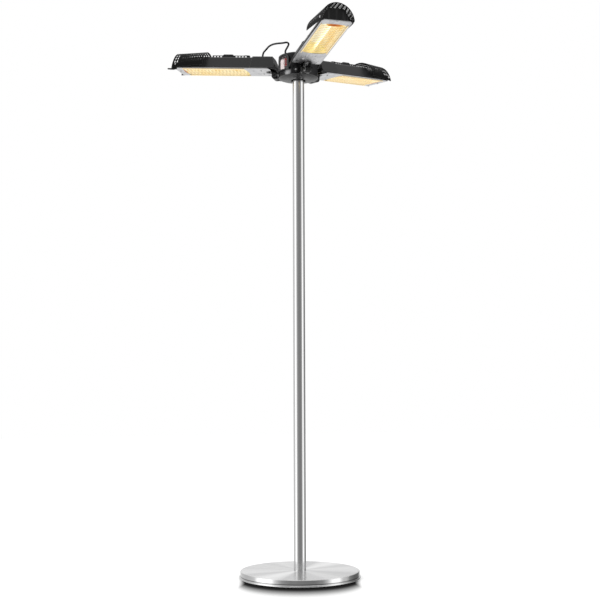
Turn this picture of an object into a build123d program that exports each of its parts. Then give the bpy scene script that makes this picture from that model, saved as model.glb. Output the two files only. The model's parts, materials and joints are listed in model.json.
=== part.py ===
"""Free-standing patio heater: three radiant arms on a hub, a three-piece pole and a weighted round base."""

import os
from math import cos, pi, radians, sin, sqrt, tan

from build123d import *

os.makedirs("parts", exist_ok=True)

# Clearances
fit_gap = 0.05            # radial play of parts pushed into each other
running_gap = 0.08        # radial play of a hinge on its bolt
side_gap = 0.3            # play beside a part that turns

# Base
base_diameter = 450.0     # over the rolled lip
lip_reach = 4.5           # lip beyond the straight wall of the cover
base_height = 28.0        # floor to the top of the cover
cover_sheet = 1.2
cover_edge_radius = 3.5
lip_bead = 6.0
pad_inset = 9.0           # pad and ballast inside the lip
pad_thickness = 3.0
bolt_diameter = 12.0
bolt_hole_gap = 0.5
bolt_head_width = 19.0
bolt_head_height = 7.5
washer_diameter = 26.0
washer_thickness = 2.5
bolt_pocket_depth = 12.0
bolt_grip = 40.0          # thread inside the spigot
spigot_height = 60.0
spigot_chamfer = 2.0

# Pole
pole_diameter = 45.0
pole_wall = 1.5
pole_section = 645.0      # lower and middle tubes
pole_upper_section = 602.0
coupler_length = 120.0
coupler_wall = 2.5

# Mains grommet in the back of the lower tube
grommet_height = 130.0
grommet_bore = 8.0
grommet_neck = 12.0
grommet_flange = 17.0
grommet_inner_flange = 15.0
grommet_lip = 2.0

# Hub
hub_diameter = 150.0
drum_wall = 3.0
drum_height = 78.0
bowl_depth = 9.0
bowl_rim_width = 9.0
bowl_skin = 5.0
bowl_sag = 2.0            # swell of the bowl below a straight cone
bowl_mouth_gap = 5.5      # ring of shadow between the bowl and the pole
mouth_depth = 6.0
sleeve_wall = 4.5
sleeve_length = 47.0
stop_ring_height = 5.0
stop_ring_bore = 34.0
cap_thickness = 5.0
cap_edge_radius = 3.0
cap_spigot_height = 5.0
cap_spigot_wall = 2.0
stud_boss_width = 13.0
stud_boss_root = 1.0      # depth of the boss in the rim of the bowl

# Hinges of the arms
arm_azimuths = {"front": 270.0, "right": 30.0, "left": 150.0}
hinge_stand_off = 13.0    # hinge axis outside the drum
hinge_rise = 13.0         # above the foot of the drum
barrel_diameter = 26.0
knuckle_width = 16.0
ear_width = 9.7
ear_web_top = 11.0
hinge_bolt_diameter = 10.0
hinge_bolt_head = 17.0
hinge_bolt_head_height = 7.0
hex_socket = 8.0
hex_socket_depth = 5.0
hinge_bolt_recess = 1.0
arm_tilts = {"front": 6.4, "right": 6.4, "left": 4.6}   # degrees above level

# Locking knobs on the drum, one beside each hinge
knob_angle = 22.6         # clockwise of each arm
knob_rise = 13.0          # above the foot of the drum
knob_diameter = 20.0
knob_length = 11.0
knob_flute_diameter = 5.0
knob_flutes = 9
knob_edge = 1.0
stud_diameter = 6.0
stud_head = 8.0
stud_head_height = 1.5
stud_reach = 14.0         # inward from the drum

# Radiant arm, measured along the arm from its hinge axis and up from it
plate_start = 15.0
plate_end = 395.0
plate_width = 110.6
plate_face = 16.4         # underside of the plate above the hinge axis
plate_sheet = 1.5
plate_edge = 6.0          # height of the folded edge
plate_corner = 9.0
notch_width = 40.0
window_inset = 33.0       # corner of the window inside the outer end of the plate
window_length = 244.0     # between the corners of the window
window_border = 10.3      # plate beside the window
window_bow = 7.0          # swell of both ends of the window
window_corner = 12.0
housing_lead = 26.0       # housing before the corner of the window
housing_inset = 11.0      # housing inside the outer end of the plate
housing_lap = 1.7         # housing beyond each side of the plate
seam_gap = 1.2            # between the housing and the box
housing_top_width = 60.0
housing_height = 46.0
housing_corner = 15.0
shell_wall = 2.0
foot_length = 9.0
foot_width = 44.0
vent_lead = 18.0          # raised vent after the start of the housing
vent_margin = 14.0        # raised vent before the hood
vent_width = 6.0
vent_height = 12.5
vent_slot_length = 9.0
vent_slot_height = 5.5
vent_slot_lift = 5.5      # slots above the top of the housing
vent_pitch = 12.5
vent_solid = (63.0, 108.0)                           # stretch of the vent with no slots
humps = [(64.0, 110.0, 4.2), (0.0, 25.0, 1.0)]       # start, end and height on the vent
hump_slope = 6.0
box_height = 50.0
box_top_width = 62.0
box_top_start = 13.0
box_end = -2.0
box_end_high = 36.0
cheek_end = -15.0
cheek_start = 44.0
cheek_low = 11.5

# Hood over the outer end of an arm
hood_overhang = 11.0      # foot of the outer edge beyond the plate
hood_length = 131.0
hood_inner_lean = 2.0
hood_outer_lean = 7.0
hood_lap = 1.5            # hood beyond each side of the housing at its outer end
hood_flare = 33.0         # extra width at the end towards the hub
hood_outer_rise = 61.0    # crown above the rim of the housing
hood_inner_rise = 68.0
hood_inner_lift = 5.0     # foot above the rim of the housing
hood_wall = 2.0
pull_tab_arm = "left"
pull_tab_root = 22.0      # start of the tab inside the outer edge of the hood
pull_tab_reach = 15.0     # end of the tab beyond the outer edge of the hood
pull_tab_out = 6.7        # beyond the side of the plate
pull_tab_width = 12.0
pull_tab_thickness = 3.5
pull_tab_drop = 7.0       # underside below the face of the plate
pull_tab_corner = 3.0
slot_rows = 6             # around the arch
slot_columns = 12         # along the hood
slot_length = 19.0
slot_width = 4.5
slot_margin = 8.0         # from the edges of the hood to the middle of a slot
slot_fan = 124.0          # degrees of the arch between the first and the last row
tab_length = 8.0
tab_height = 14.0

# Heating element
reflector_sheet = 0.8
reflector_depth = 36.0
reflector_flange = 4.0
lamp_rise = 17.0          # lamp axis above the plate
lamp_diameter = 11.0
lamp_cap_diameter = 13.0
lamp_cap_length = 8.0
holder_length = 9.5
holder_width = 22.0
holder_height = 27.0
guard_wire = 2.4
guard_rod = 3.0
guard_pitch = 14.0
guard_overlap = 3.0

# Hinge bracket and the screws of an arm
bracket_start = 18.0
bracket_end = 82.0
bracket_width = 60.0
bracket_thickness = 4.0
screw_diameter = 4.0
screw_head = 8.0
screw_head_height = 2.6
bracket_screw_reach = 56.0
bracket_screw_spacing = 44.0
outer_screw_inset = 7.0   # from the outer end of the plate

# Leads from the hub to the arms
lead_diameter = 7.0
lead_gland_radius = 50.0  # from the pole axis
gland_flange = 14.0
gland_flange_height = 3.0
gland_neck = 10.0
gland_nut = 13.0
gland_nut_height = 4.0
gland_dome_height = 3.0
box_gland_reach = 60.0
box_gland_height = 5.0
box_gland_diameter = 16.0
lead_tail = 6.0           # length inside the hub and inside the box
lead_loop = [             # distance from the pole, sideways, height above the cap
    (46.0, 3.0, 34.0),
    (40.0, 10.0, 45.0),
    (35.0, 18.0, 52.5),
    (41.0, 24.0, 56.5),
    (60.0, 20.0, 53.5),
    (84.0, 12.0, 51.0),
    (108.0, 5.0, 48.5),
    (128.0, 2.0, 41.0),
]

# Switch between the left and the front arm
switch_azimuth = 210.0
switch_rise = 47.5        # centre above the foot of the drum
switch_width = 53.0
switch_height = 60.0
switch_top_corner = 20.0
switch_low_corner = 6.0
switch_stand_out = 6.0
switch_rim = 4.5          # bezel in front of the seat of the splash cover
switch_body_width = 32.0
switch_body_height = 46.0
switch_body_depth = 28.0
rocker_width = 24.0
rocker_height = 36.0
rocker_dip = 5.5
rocker_rise = 8.5
rocker_below = 5.0
rocker_sink = 2.0         # top of the level rocker below the seat of the splash cover
rocker_tilt = 8.0
rocker_gap = 0.4
trunnion_diameter = 4.0
trunnion_length = 2.0
splash_width = 36.0
splash_height = 53.0
splash_depth = 2.5
splash_wall = 1.0
splash_edge = 1.6
splash_top_corner = 14.0
splash_low_corner = 4.0

# Terminal block inside the hub
block_length = 52.0
block_width = 20.0
block_height = 16.0
block_ways = 4
block_hole = 5.0
block_hole_depth = 8.0

# Places worked out from the sizes above
cover_diameter = base_diameter - 2 * lip_reach
pad_diameter = base_diameter - 2 * pad_inset
hinge_radius = hub_diameter / 2 + hinge_stand_off
window_end = plate_end - window_inset
window_start = window_end - window_length
window_width = plate_width - 2 * window_border
housing_start = window_start - housing_lead
housing_end = plate_end - housing_inset
housing_width = plate_width + 2 * housing_lap
outer_screw_reach = plate_end - outer_screw_inset
hood_outer = plate_end + hood_overhang
hood_outer_top = hood_outer - hood_outer_lean
hood_inner = hood_outer - hood_length
hood_inner_top = hood_inner + hood_inner_lean
hood_outer_width = housing_width + 2 * hood_lap
hood_inner_width = hood_outer_width + hood_flare
pull_tab_start = hood_outer - pull_tab_root
pull_tab_end = hood_outer + pull_tab_reach
pull_tab_side = plate_width / 2 + pull_tab_out
vent_start = housing_start + vent_lead
vent_end = hood_inner - vent_margin
pole_radius = pole_diameter / 2
pole_bore = pole_radius - pole_wall
pole_foot = base_height
lower_joint = pole_foot + pole_section
upper_joint = lower_joint + pole_section
pole_top = upper_joint + pole_upper_section
sleeve_foot = pole_top - sleeve_length
drum_foot = sleeve_foot - mouth_depth + bowl_depth
drum_top = drum_foot + drum_height
cap_top = drum_top + cap_thickness
hinge_height = drum_foot + hinge_rise
hub_radius = hub_diameter / 2
barrel_radius = barrel_diameter / 2
ear_inside = knuckle_width / 2 + side_gap
ear_outside = ear_inside + ear_width
plate_inside = plate_face + plate_sheet
rim = plate_face + plate_edge
lamp_height = plate_inside + lamp_rise
box_top = rim + box_height


def place_on_arm(shape, arm, name):
    """Write a piece on one arm, turned and tilted about its hinge."""
    spin = radians(arm_azimuths[arm])
    tilt = radians(arm_tilts[arm])
    outward = (cos(tilt) * cos(spin), cos(tilt) * sin(spin), sin(tilt))
    upward = (-sin(tilt) * cos(spin), -sin(tilt) * sin(spin), cos(tilt))
    hinge = (hinge_radius * cos(spin), hinge_radius * sin(spin), hinge_height)
    copy = shape.moved(Plane(origin=hinge, x_dir=outward, z_dir=upward).location)
    copy.label = f"{arm}_{name}"
    export_step(copy, f"parts/{arm}_{name}.step")


def place_on_arms(shape, name):
    """Write one copy of a piece for each arm."""
    for arm in arm_azimuths:
        place_on_arm(shape, arm, name)


def radial_plane(azimuth, radius, height):
    """Plane facing outward from the pole, its x axis level and its y axis up."""
    spin = radians(azimuth)
    outward = (cos(spin), sin(spin), 0)
    level = (-sin(spin), cos(spin), 0)
    return Plane(origin=(radius * cos(spin), radius * sin(spin), height), x_dir=level, z_dir=outward)


def side_plane(azimuth, offset):
    """Upright plane through the pole axis and an arm, moved sideways, with x outward."""
    spin = radians(azimuth)
    outward = (cos(spin), sin(spin), 0)
    clockwise = (sin(spin), -cos(spin), 0)
    origin = (
        hinge_radius * cos(spin) + offset * clockwise[0],
        hinge_radius * sin(spin) + offset * clockwise[1],
        hinge_height,
    )
    return Plane(origin=origin, x_dir=outward, z_dir=clockwise)


# Base: spun cover with a rolled lip
cover_radius = cover_diameter / 2
bolt_hole = bolt_diameter / 2 + bolt_hole_gap
cover_inside = base_height - cover_sheet
with BuildPart() as base_cover:
    with BuildSketch(Plane.XZ):
        with BuildLine():
            Polyline(
                (bolt_hole, base_height),
                (cover_radius, base_height),
                (cover_radius, pad_thickness + lip_bead / 2),
                (cover_radius - cover_sheet, pad_thickness + lip_bead / 2),
                (cover_radius - cover_sheet, cover_inside),
                (bolt_hole, cover_inside),
                close=True,
            )
        make_face()
        with Locations((base_diameter / 2 - lip_bead / 2, pad_thickness + lip_bead / 2)):
            Circle(lip_bead / 2)
    revolve(axis=Axis.Z)
    top_face = base_cover.faces().filter_by(GeomType.PLANE).sort_by(Axis.Z)[-1]
    fillet(top_face.edges().sort_by(SortBy.RADIUS)[-1], cover_edge_radius)
base_cover.part.label = "base_cover"
export_step(base_cover.part, "parts/base_cover.step")

# Base: cast ballast with a pocket for the bolt head, and the pad that it stands on
pocket_top = pad_thickness + bolt_pocket_depth
with BuildPart() as base_ballast:
    with BuildSketch(Plane.XY.offset(pad_thickness)):
        Circle(pad_diameter / 2)
    extrude(amount=cover_inside - pad_thickness)
    with BuildSketch(Plane.XY.offset(pad_thickness)):
        Circle(washer_diameter / 2 + bolt_hole_gap)
    extrude(amount=bolt_pocket_depth, mode=Mode.SUBTRACT)
    with BuildSketch(Plane.XY.offset(pad_thickness)):
        Circle(bolt_hole)
    extrude(amount=base_height, mode=Mode.SUBTRACT)
base_ballast.part.label = "base_ballast"
export_step(base_ballast.part, "parts/base_ballast.step")

with BuildPart() as base_pad:
    with BuildSketch(Plane.XY):
        Circle(pad_diameter / 2)
    extrude(amount=pad_thickness)
base_pad.part.label = "base_pad"
export_step(base_pad.part, "parts/base_pad.step")

# Base: spigot that the lower tube slides over, with its bolt and washer
with BuildPart() as base_spigot:
    with BuildSketch(Plane.XY.offset(base_height)):
        Circle(pole_bore - fit_gap)
        Circle(bolt_diameter / 2 + fit_gap, mode=Mode.SUBTRACT)
    extrude(amount=spigot_height)
    top_rim = base_spigot.edges().group_by(Axis.Z)[-1].sort_by(SortBy.RADIUS)[-1]
    chamfer(top_rim, spigot_chamfer)
base_spigot.part.label = "base_spigot"
export_step(base_spigot.part, "parts/base_spigot.step")

washer_foot = pocket_top - washer_thickness
with BuildPart() as base_bolt:
    with BuildSketch(Plane.XY.offset(washer_foot - bolt_head_height)):
        RegularPolygon(bolt_head_width / 2, 6, major_radius=False)
    extrude(amount=bolt_head_height)
    with BuildSketch(Plane.XY.offset(washer_foot)):
        Circle(bolt_diameter / 2)
    extrude(amount=base_height + bolt_grip - washer_foot)
base_bolt.part.label = "base_bolt"
export_step(base_bolt.part, "parts/base_bolt.step")

with BuildPart() as base_washer:
    with BuildSketch(Plane.XY.offset(washer_foot)):
        Circle(washer_diameter / 2)
        Circle(bolt_diameter / 2 + fit_gap, mode=Mode.SUBTRACT)
    extrude(amount=washer_thickness)
base_washer.part.label = "base_washer"
export_step(base_washer.part, "parts/base_washer.step")

# Pole: three tubes butted over two inner couplers
with BuildPart() as pole_lower:
    with BuildSketch(Plane.XY.offset(pole_foot)):
        Circle(pole_radius)
        Circle(pole_bore, mode=Mode.SUBTRACT)
    extrude(amount=pole_section)
    with BuildSketch(Plane.ZX.offset(0)):
        with Locations((grommet_height, 0)):
            Circle(grommet_neck / 2)
    extrude(amount=pole_diameter, mode=Mode.SUBTRACT)
pole_lower.part.label = "pole_lower"
export_step(pole_lower.part, "parts/pole_lower.step")

with BuildPart() as pole_middle:
    with BuildSketch(Plane.XY.offset(lower_joint)):
        Circle(pole_radius)
        Circle(pole_bore, mode=Mode.SUBTRACT)
    extrude(amount=pole_section)
pole_middle.part.label = "pole_middle"
export_step(pole_middle.part, "parts/pole_middle.step")

with BuildPart() as pole_upper:
    with BuildSketch(Plane.XY.offset(upper_joint)):
        Circle(pole_radius)
        Circle(pole_bore, mode=Mode.SUBTRACT)
    extrude(amount=pole_upper_section)
pole_upper.part.label = "pole_upper"
export_step(pole_upper.part, "parts/pole_upper.step")

with BuildPart() as pole_couplers:
    for joint in (lower_joint, upper_joint):
        with BuildSketch(Plane.XY.offset(joint - coupler_length / 2)):
            Circle(pole_bore - fit_gap)
            Circle(pole_bore - coupler_wall, mode=Mode.SUBTRACT)
        extrude(amount=coupler_length)
pole_couplers.part.label = "pole_couplers"
export_step(pole_couplers.part, "parts/pole_couplers.step")

# Grommet for the mains lead, snapped into the back of the lower tube
outer_seat = pole_radius + fit_gap
inner_seat = sqrt(pole_bore**2 - (grommet_inner_flange / 2) ** 2) - fit_gap
grommet_plane = Plane(origin=(0, 0, grommet_height), x_dir=(1, 0, 0), z_dir=(0, 1, 0))
with BuildPart() as mains_grommet:
    with BuildSketch(grommet_plane.offset(inner_seat - grommet_lip)):
        Circle(grommet_inner_flange / 2)
    extrude(amount=grommet_lip)
    with BuildSketch(grommet_plane.offset(inner_seat - grommet_lip)):
        Circle(grommet_neck / 2 - fit_gap)
    extrude(amount=outer_seat + grommet_lip - inner_seat + grommet_lip)
    with BuildSketch(grommet_plane.offset(outer_seat)):
        Circle(grommet_flange / 2)
    extrude(amount=grommet_lip)
    with BuildSketch(grommet_plane.offset(inner_seat - grommet_lip)):
        Circle(grommet_bore / 2)
    extrude(amount=pole_radius, mode=Mode.SUBTRACT)
mains_grommet.part.label = "mains_grommet"
export_step(mains_grommet.part, "parts/mains_grommet.step")

# Hub: cast bowl with a sleeve for the pole, hinge ears and screw bosses
mouth_radius = pole_radius + bowl_mouth_gap
sleeve_bore = pole_radius + fit_gap
sleeve_radius = sleeve_bore + sleeve_wall
sleeve_top = pole_top + stop_ring_height
bowl_foot = sleeve_foot - mouth_depth
rim_inside = hub_radius - bowl_rim_width
bowl_middle = (mouth_radius + hub_radius) / 2
ear_root = sleeve_radius - sleeve_wall / 2 - hinge_radius
knob_azimuths = {arm: azimuth - knob_angle for arm, azimuth in arm_azimuths.items()}
knob_height = drum_foot + knob_rise
drum_inside = hub_radius - drum_wall
with BuildPart() as hub_bowl:
    with BuildSketch(Plane.XZ):
        with BuildLine():
            ThreePointArc(
                (mouth_radius, bowl_foot),
                (bowl_middle, bowl_foot + bowl_depth / 2 - bowl_sag),
                (hub_radius, drum_foot),
            )
            Line((hub_radius, drum_foot), (rim_inside, drum_foot))
            ThreePointArc(
                (rim_inside, drum_foot),
                (bowl_middle - bowl_skin / 2, bowl_foot + bowl_depth / 2 - bowl_sag + bowl_skin),
                (sleeve_radius, sleeve_foot + bowl_skin / 2),
            )
            Polyline(
                (sleeve_radius, sleeve_foot + bowl_skin / 2),
                (sleeve_radius, sleeve_top),
                (stop_ring_bore / 2, sleeve_top),
                (stop_ring_bore / 2, pole_top),
                (sleeve_bore, pole_top),
                (sleeve_bore, sleeve_foot),
                (mouth_radius, sleeve_foot),
                (mouth_radius, bowl_foot),
            )
        make_face()
    revolve(axis=Axis.Z)
    for azimuth in arm_azimuths.values():
        for start in (-ear_outside, ear_inside):
            with BuildSketch(side_plane(azimuth, start)):
                Circle(barrel_radius)
                with BuildLine():
                    Polyline(
                        (0, ear_web_top),
                        (ear_root, ear_web_top),
                        (ear_root, sleeve_foot + bowl_skin - hinge_height),
                        (rim_inside - hinge_radius, drum_foot - hinge_height),
                        (hub_radius - hinge_radius, drum_foot - hinge_height),
                        (0, -barrel_radius),
                        close=True,
                    )
                make_face()
            extrude(amount=ear_width)
        with BuildSketch(side_plane(azimuth, -ear_outside)):
            Circle(hinge_bolt_diameter / 2 + fit_gap)
        extrude(amount=2 * ear_outside, mode=Mode.SUBTRACT)
    for azimuth in knob_azimuths.values():
        boss_face = sqrt((drum_inside - fit_gap) ** 2 - (stud_boss_width / 2) ** 2)
        with BuildSketch(radial_plane(azimuth, boss_face, knob_height)):
            Rectangle(stud_boss_width, stud_boss_width)
            with Locations((0, -knob_rise)):
                Rectangle(stud_boss_width, 2 * stud_boss_root)
            make_hull()
        extrude(amount=-bowl_rim_width)
        with BuildSketch(radial_plane(azimuth, hub_radius, knob_height)):
            Circle(stud_diameter / 2 + running_gap)
        extrude(amount=-stud_reach - side_gap, mode=Mode.SUBTRACT)
hub_bowl.part.label = "hub_bowl"
export_step(hub_bowl.part, "parts/hub_bowl.step")

# Hub: drum with slots for the hinge ears and an opening for the switch
switch_height_on_hub = drum_foot + switch_rise
ear_slot_width = 2 * ear_outside + 2 * side_gap
ear_slot_height = hinge_rise + barrel_radius + side_gap
with BuildPart() as hub_drum:
    with BuildSketch(Plane.XY.offset(drum_foot)):
        Circle(hub_radius)
        Circle(drum_inside, mode=Mode.SUBTRACT)
    extrude(amount=drum_height)
    for azimuth in arm_azimuths.values():
        with BuildSketch(radial_plane(azimuth, 0, drum_foot)):
            Rectangle(ear_slot_width, 2 * ear_slot_height)
        extrude(amount=hub_diameter, mode=Mode.SUBTRACT)
    for azimuth in knob_azimuths.values():
        with BuildSketch(radial_plane(azimuth, 0, knob_height)):
            Circle(stud_diameter / 2 + running_gap)
        extrude(amount=hub_diameter, mode=Mode.SUBTRACT)
    with BuildSketch(radial_plane(switch_azimuth, 0, switch_height_on_hub)):
        Rectangle(switch_body_width + 2 * fit_gap, switch_body_height + 2 * fit_gap)
    extrude(amount=hub_diameter, mode=Mode.SUBTRACT)
hub_drum.part.label = "hub_drum"
export_step(hub_drum.part, "parts/hub_drum.step")

# Hub: flat cap pressed into the drum
gland_spots = [(lead_gland_radius, azimuth) for azimuth in arm_azimuths.values()]
with BuildPart() as hub_cap:
    with BuildSketch(Plane.XY.offset(drum_top)):
        Circle(hub_radius)
    extrude(amount=cap_thickness)
    fillet(hub_cap.edges().group_by(Axis.Z)[-1], cap_edge_radius)
    with BuildSketch(Plane.XY.offset(drum_top - cap_spigot_height)):
        Circle(drum_inside - fit_gap)
        Circle(drum_inside - cap_spigot_wall, mode=Mode.SUBTRACT)
    extrude(amount=cap_spigot_height)
    for azimuth in arm_azimuths.values():
        spin = radians(azimuth)
        with BuildSketch(Plane.XY.offset(drum_top - cap_spigot_height)):
            with Locations((lead_gland_radius * cos(spin), lead_gland_radius * sin(spin))):
                Circle(gland_neck / 2 + fit_gap)
        extrude(amount=cap_thickness + 2 * cap_spigot_height, mode=Mode.SUBTRACT)
hub_cap.part.label = "hub_cap"
export_step(hub_cap.part, "parts/hub_cap.step")

# Hub: locking knobs beside the hinges, each with the stud that it turns
for arm, azimuth in knob_azimuths.items():
    knob_seat = radial_plane(azimuth, hub_radius + side_gap, knob_height)
    with BuildPart() as lock_knob:
        with BuildSketch(knob_seat):
            Circle(knob_diameter / 2)
            with PolarLocations(knob_diameter / 2 + knob_flute_diameter / 4, knob_flutes):
                Circle(knob_flute_diameter / 2, mode=Mode.SUBTRACT)
        extrude(amount=knob_length)
        knob_front = lock_knob.faces().sort_by(Axis(knob_seat.origin, knob_seat.z_dir))[-1]
        fillet(knob_front.edges(), knob_edge)
        with BuildSketch(knob_seat):
            Circle(stud_diameter / 2 + fit_gap)
        extrude(amount=knob_length, mode=Mode.SUBTRACT)
    lock_knob.part.label = f"{arm}_lock_knob"
    export_step(lock_knob.part, f"parts/{arm}_lock_knob.step")

    with BuildPart() as lock_stud:
        with BuildSketch(knob_seat.offset(-side_gap - stud_reach)):
            Circle(stud_diameter / 2)
        extrude(amount=stud_reach + side_gap + knob_length)
        with BuildSketch(knob_seat.offset(knob_length)):
            Circle(stud_head / 2)
        extrude(amount=stud_head_height, taper=30)
    lock_stud.part.label = f"{arm}_lock_stud"
    export_step(lock_stud.part, f"parts/{arm}_lock_stud.step")

# Hub: glands that the leads leave through
with BuildPart() as lead_glands:
    for radius, azimuth in gland_spots:
        spin = radians(azimuth)
        foot = Plane(origin=(radius * cos(spin), radius * sin(spin), drum_top - gland_nut_height))
        with BuildSketch(foot):
            RegularPolygon(gland_nut / 2, 6, major_radius=False)
        extrude(amount=gland_nut_height)
        with BuildSketch(foot):
            Circle(gland_neck / 2)
        extrude(amount=gland_nut_height + cap_thickness)
        with BuildSketch(foot.offset(gland_nut_height + cap_thickness)):
            Circle(gland_flange / 2)
        extrude(amount=gland_flange_height)
        with BuildSketch(foot.offset(gland_nut_height + cap_thickness + gland_flange_height)):
            Circle(gland_neck / 2)
        extrude(amount=gland_dome_height, taper=12)
        with BuildSketch(foot):
            Circle(lead_diameter / 2 + fit_gap)
        extrude(amount=cap_thickness * 6, mode=Mode.SUBTRACT)
lead_glands.part.label = "lead_glands"
export_step(lead_glands.part, "parts/lead_glands.step")

# Hub: terminal block on top of the sleeve
block_spacing = block_length / block_ways
with BuildPart() as terminal_block:
    with BuildSketch(Plane.XY.offset(sleeve_top)):
        Rectangle(block_length, block_width)
    extrude(amount=block_height)
    with BuildSketch(Plane.XY.offset(sleeve_top + block_height)):
        with GridLocations(block_spacing, block_width / 2, block_ways, 2):
            Circle(block_hole / 2)
    extrude(amount=-block_hole_depth, mode=Mode.SUBTRACT)
terminal_block.part.label = "terminal_block"
export_step(terminal_block.part, "parts/terminal_block.step")

# Switch: frame with an arched top, let into the drum
switch_front = hub_radius + switch_stand_out
switch_plane = radial_plane(switch_azimuth, 0, switch_height_on_hub)
cover_seat = switch_front - switch_rim
rocker_pivot = cover_seat - rocker_rise - rocker_sink
pocket_floor = rocker_pivot - rocker_below - tan(radians(rocker_tilt)) * rocker_height / 2 - rocker_gap


def splash_outline(margin):
    """Outline of the splash cover, with a margin around it."""
    with BuildSketch() as outline:
        plate = Rectangle(splash_width + 2 * margin, splash_height + 2 * margin)
        fillet(plate.vertices().group_by(Axis.Y)[-1], splash_top_corner + margin)
        fillet(outline.vertices().group_by(Axis.Y)[0], splash_low_corner + margin)
    return outline.sketch


with BuildPart() as switch_frame:
    with BuildSketch(switch_plane.offset(hub_radius / 2)):
        outline = Rectangle(switch_width, switch_height)
        fillet(outline.vertices().group_by(Axis.Y)[-1], switch_top_corner)
        fillet(outline.vertices().group_by(Axis.Y)[0], switch_low_corner)
    extrude(amount=switch_front - hub_radius / 2)
    with BuildSketch(Plane.XY.offset(drum_foot)):
        Circle(hub_radius + fit_gap)
    extrude(amount=drum_height, mode=Mode.SUBTRACT)
    with BuildSketch(switch_plane.offset(switch_front - switch_body_depth)):
        Rectangle(switch_body_width, switch_body_height)
    extrude(amount=switch_body_depth - switch_stand_out / 2)
    with BuildSketch(switch_plane.offset(cover_seat)):
        add(splash_outline(fit_gap))
    extrude(amount=switch_front, mode=Mode.SUBTRACT)
    with BuildSketch(switch_plane.offset(pocket_floor)):
        Rectangle(rocker_width + 2 * rocker_gap, rocker_height + 2 * rocker_gap)
    extrude(amount=switch_front, mode=Mode.SUBTRACT)
    pivot_plane = Plane(
        origin=switch_plane.offset(rocker_pivot).origin,
        x_dir=switch_plane.y_dir,
        z_dir=switch_plane.x_dir,
    )
    with BuildSketch(pivot_plane):
        Circle(trunnion_diameter / 2 + running_gap)
    extrude(amount=rocker_width / 2 + trunnion_length + rocker_gap, both=True, mode=Mode.SUBTRACT)
switch_frame.part.label = "switch_frame"
export_step(switch_frame.part, "parts/switch_frame.step")

# Switch: rocker, dished across the middle and pressed in at the top
rocker_lean = radians(rocker_tilt)
rocker_plane = Plane(
    origin=pivot_plane.origin,
    x_dir=pivot_plane.x_dir * cos(rocker_lean) - pivot_plane.y_dir * sin(rocker_lean),
    z_dir=pivot_plane.z_dir,
)
rocker_radius = rocker_height / 2
with BuildPart() as switch_rocker:
    with BuildSketch(rocker_plane):
        Circle(rocker_radius)
        with BuildLine():
            Polyline(
                (-rocker_radius, -rocker_below),
                (rocker_radius, -rocker_below),
                (rocker_radius, rocker_rise),
                (0, rocker_dip),
                (-rocker_radius, rocker_rise),
                close=True,
            )
        make_face(mode=Mode.INTERSECT)
    extrude(amount=rocker_width / 2, both=True)
    with BuildSketch(rocker_plane):
        Circle(trunnion_diameter / 2)
    extrude(amount=rocker_width / 2 + trunnion_length, both=True)
switch_rocker.part.label = "switch_rocker"
export_step(switch_rocker.part, "parts/switch_rocker.step")

# Switch: clear splash cover over the rocker
with BuildPart() as switch_cover:
    with BuildSketch(switch_plane.offset(cover_seat)):
        add(splash_outline(0))
    extrude(amount=splash_depth)
    outer_face = switch_cover.faces().sort_by(Axis(switch_plane.origin, switch_plane.z_dir))[-1]
    fillet(outer_face.edges(), splash_edge)
    inner_face = switch_cover.faces().sort_by(Axis(switch_plane.origin, switch_plane.z_dir))[0]
    offset(amount=-splash_wall, openings=inner_face)
switch_cover.part.label = "switch_cover"
export_step(switch_cover.part, "parts/switch_cover.step")

# Hinge bolts through the ears
with BuildPart() as hinge_bolts:
    for azimuth in arm_azimuths.values():
        with BuildSketch(side_plane(azimuth, -ear_outside - hinge_bolt_head_height)):
            Circle(hinge_bolt_head / 2)
        extrude(amount=hinge_bolt_head_height)
        with BuildSketch(side_plane(azimuth, -ear_outside)):
            Circle(hinge_bolt_diameter / 2)
        extrude(amount=2 * ear_outside - hinge_bolt_recess)
        with BuildSketch(side_plane(azimuth, -ear_outside - hinge_bolt_head_height)):
            RegularPolygon(hex_socket / 2, 6, major_radius=False)
        extrude(amount=hex_socket_depth, mode=Mode.SUBTRACT)
hinge_bolts.part.label = "hinge_bolts"
export_step(hinge_bolts.part, "parts/hinge_bolts.step")

# Arm: hinge bracket with the knuckle and the plate that is screwed to the frame
bracket_screws = [(bracket_screw_reach, side * bracket_screw_spacing / 2) for side in (-1, 1)]
with BuildPart() as hinge_bracket:
    with BuildSketch(Plane.XZ.offset(-knuckle_width / 2)):
        Circle(barrel_radius)
        with BuildLine():
            Polyline(
                (0, barrel_radius),
                (bracket_start, plate_inside + bracket_thickness),
                (bracket_start + barrel_radius, plate_inside + bracket_thickness),
                (bracket_start + barrel_radius, plate_inside),
                (barrel_radius * sin(radians(60)), barrel_radius / 2),
                (0, 0),
                close=True,
            )
        make_face()
    extrude(amount=knuckle_width)
    with BuildSketch(Plane.XY.offset(plate_inside)):
        with Locations(((bracket_start + bracket_end) / 2, 0)):
            RectangleRounded(bracket_end - bracket_start, bracket_width, plate_corner / 2)
    extrude(amount=bracket_thickness)
    with BuildSketch(Plane.XZ.offset(-knuckle_width)):
        Circle(hinge_bolt_diameter / 2 + running_gap)
    extrude(amount=2 * knuckle_width, mode=Mode.SUBTRACT)
    with BuildSketch(Plane.XY.offset(plate_inside)):
        with Locations(*bracket_screws):
            Circle(screw_diameter / 2 + fit_gap)
    extrude(amount=bracket_thickness, mode=Mode.SUBTRACT)
place_on_arms(hinge_bracket.part, "hinge_bracket")

# Arm: bright frame, a shallow tray with the window, the hinge notch and two tabs for the hood
plate_length = plate_end - plate_start
plate_middle = (plate_start + plate_end) / 2
window_middle = (window_start + window_end) / 2
tab_middle = plate_end - plate_sheet - tab_length / 2
tab_wall = plate_width / 2 - plate_sheet / 2
hood_screw_height = rim + tab_height / 2


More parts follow.
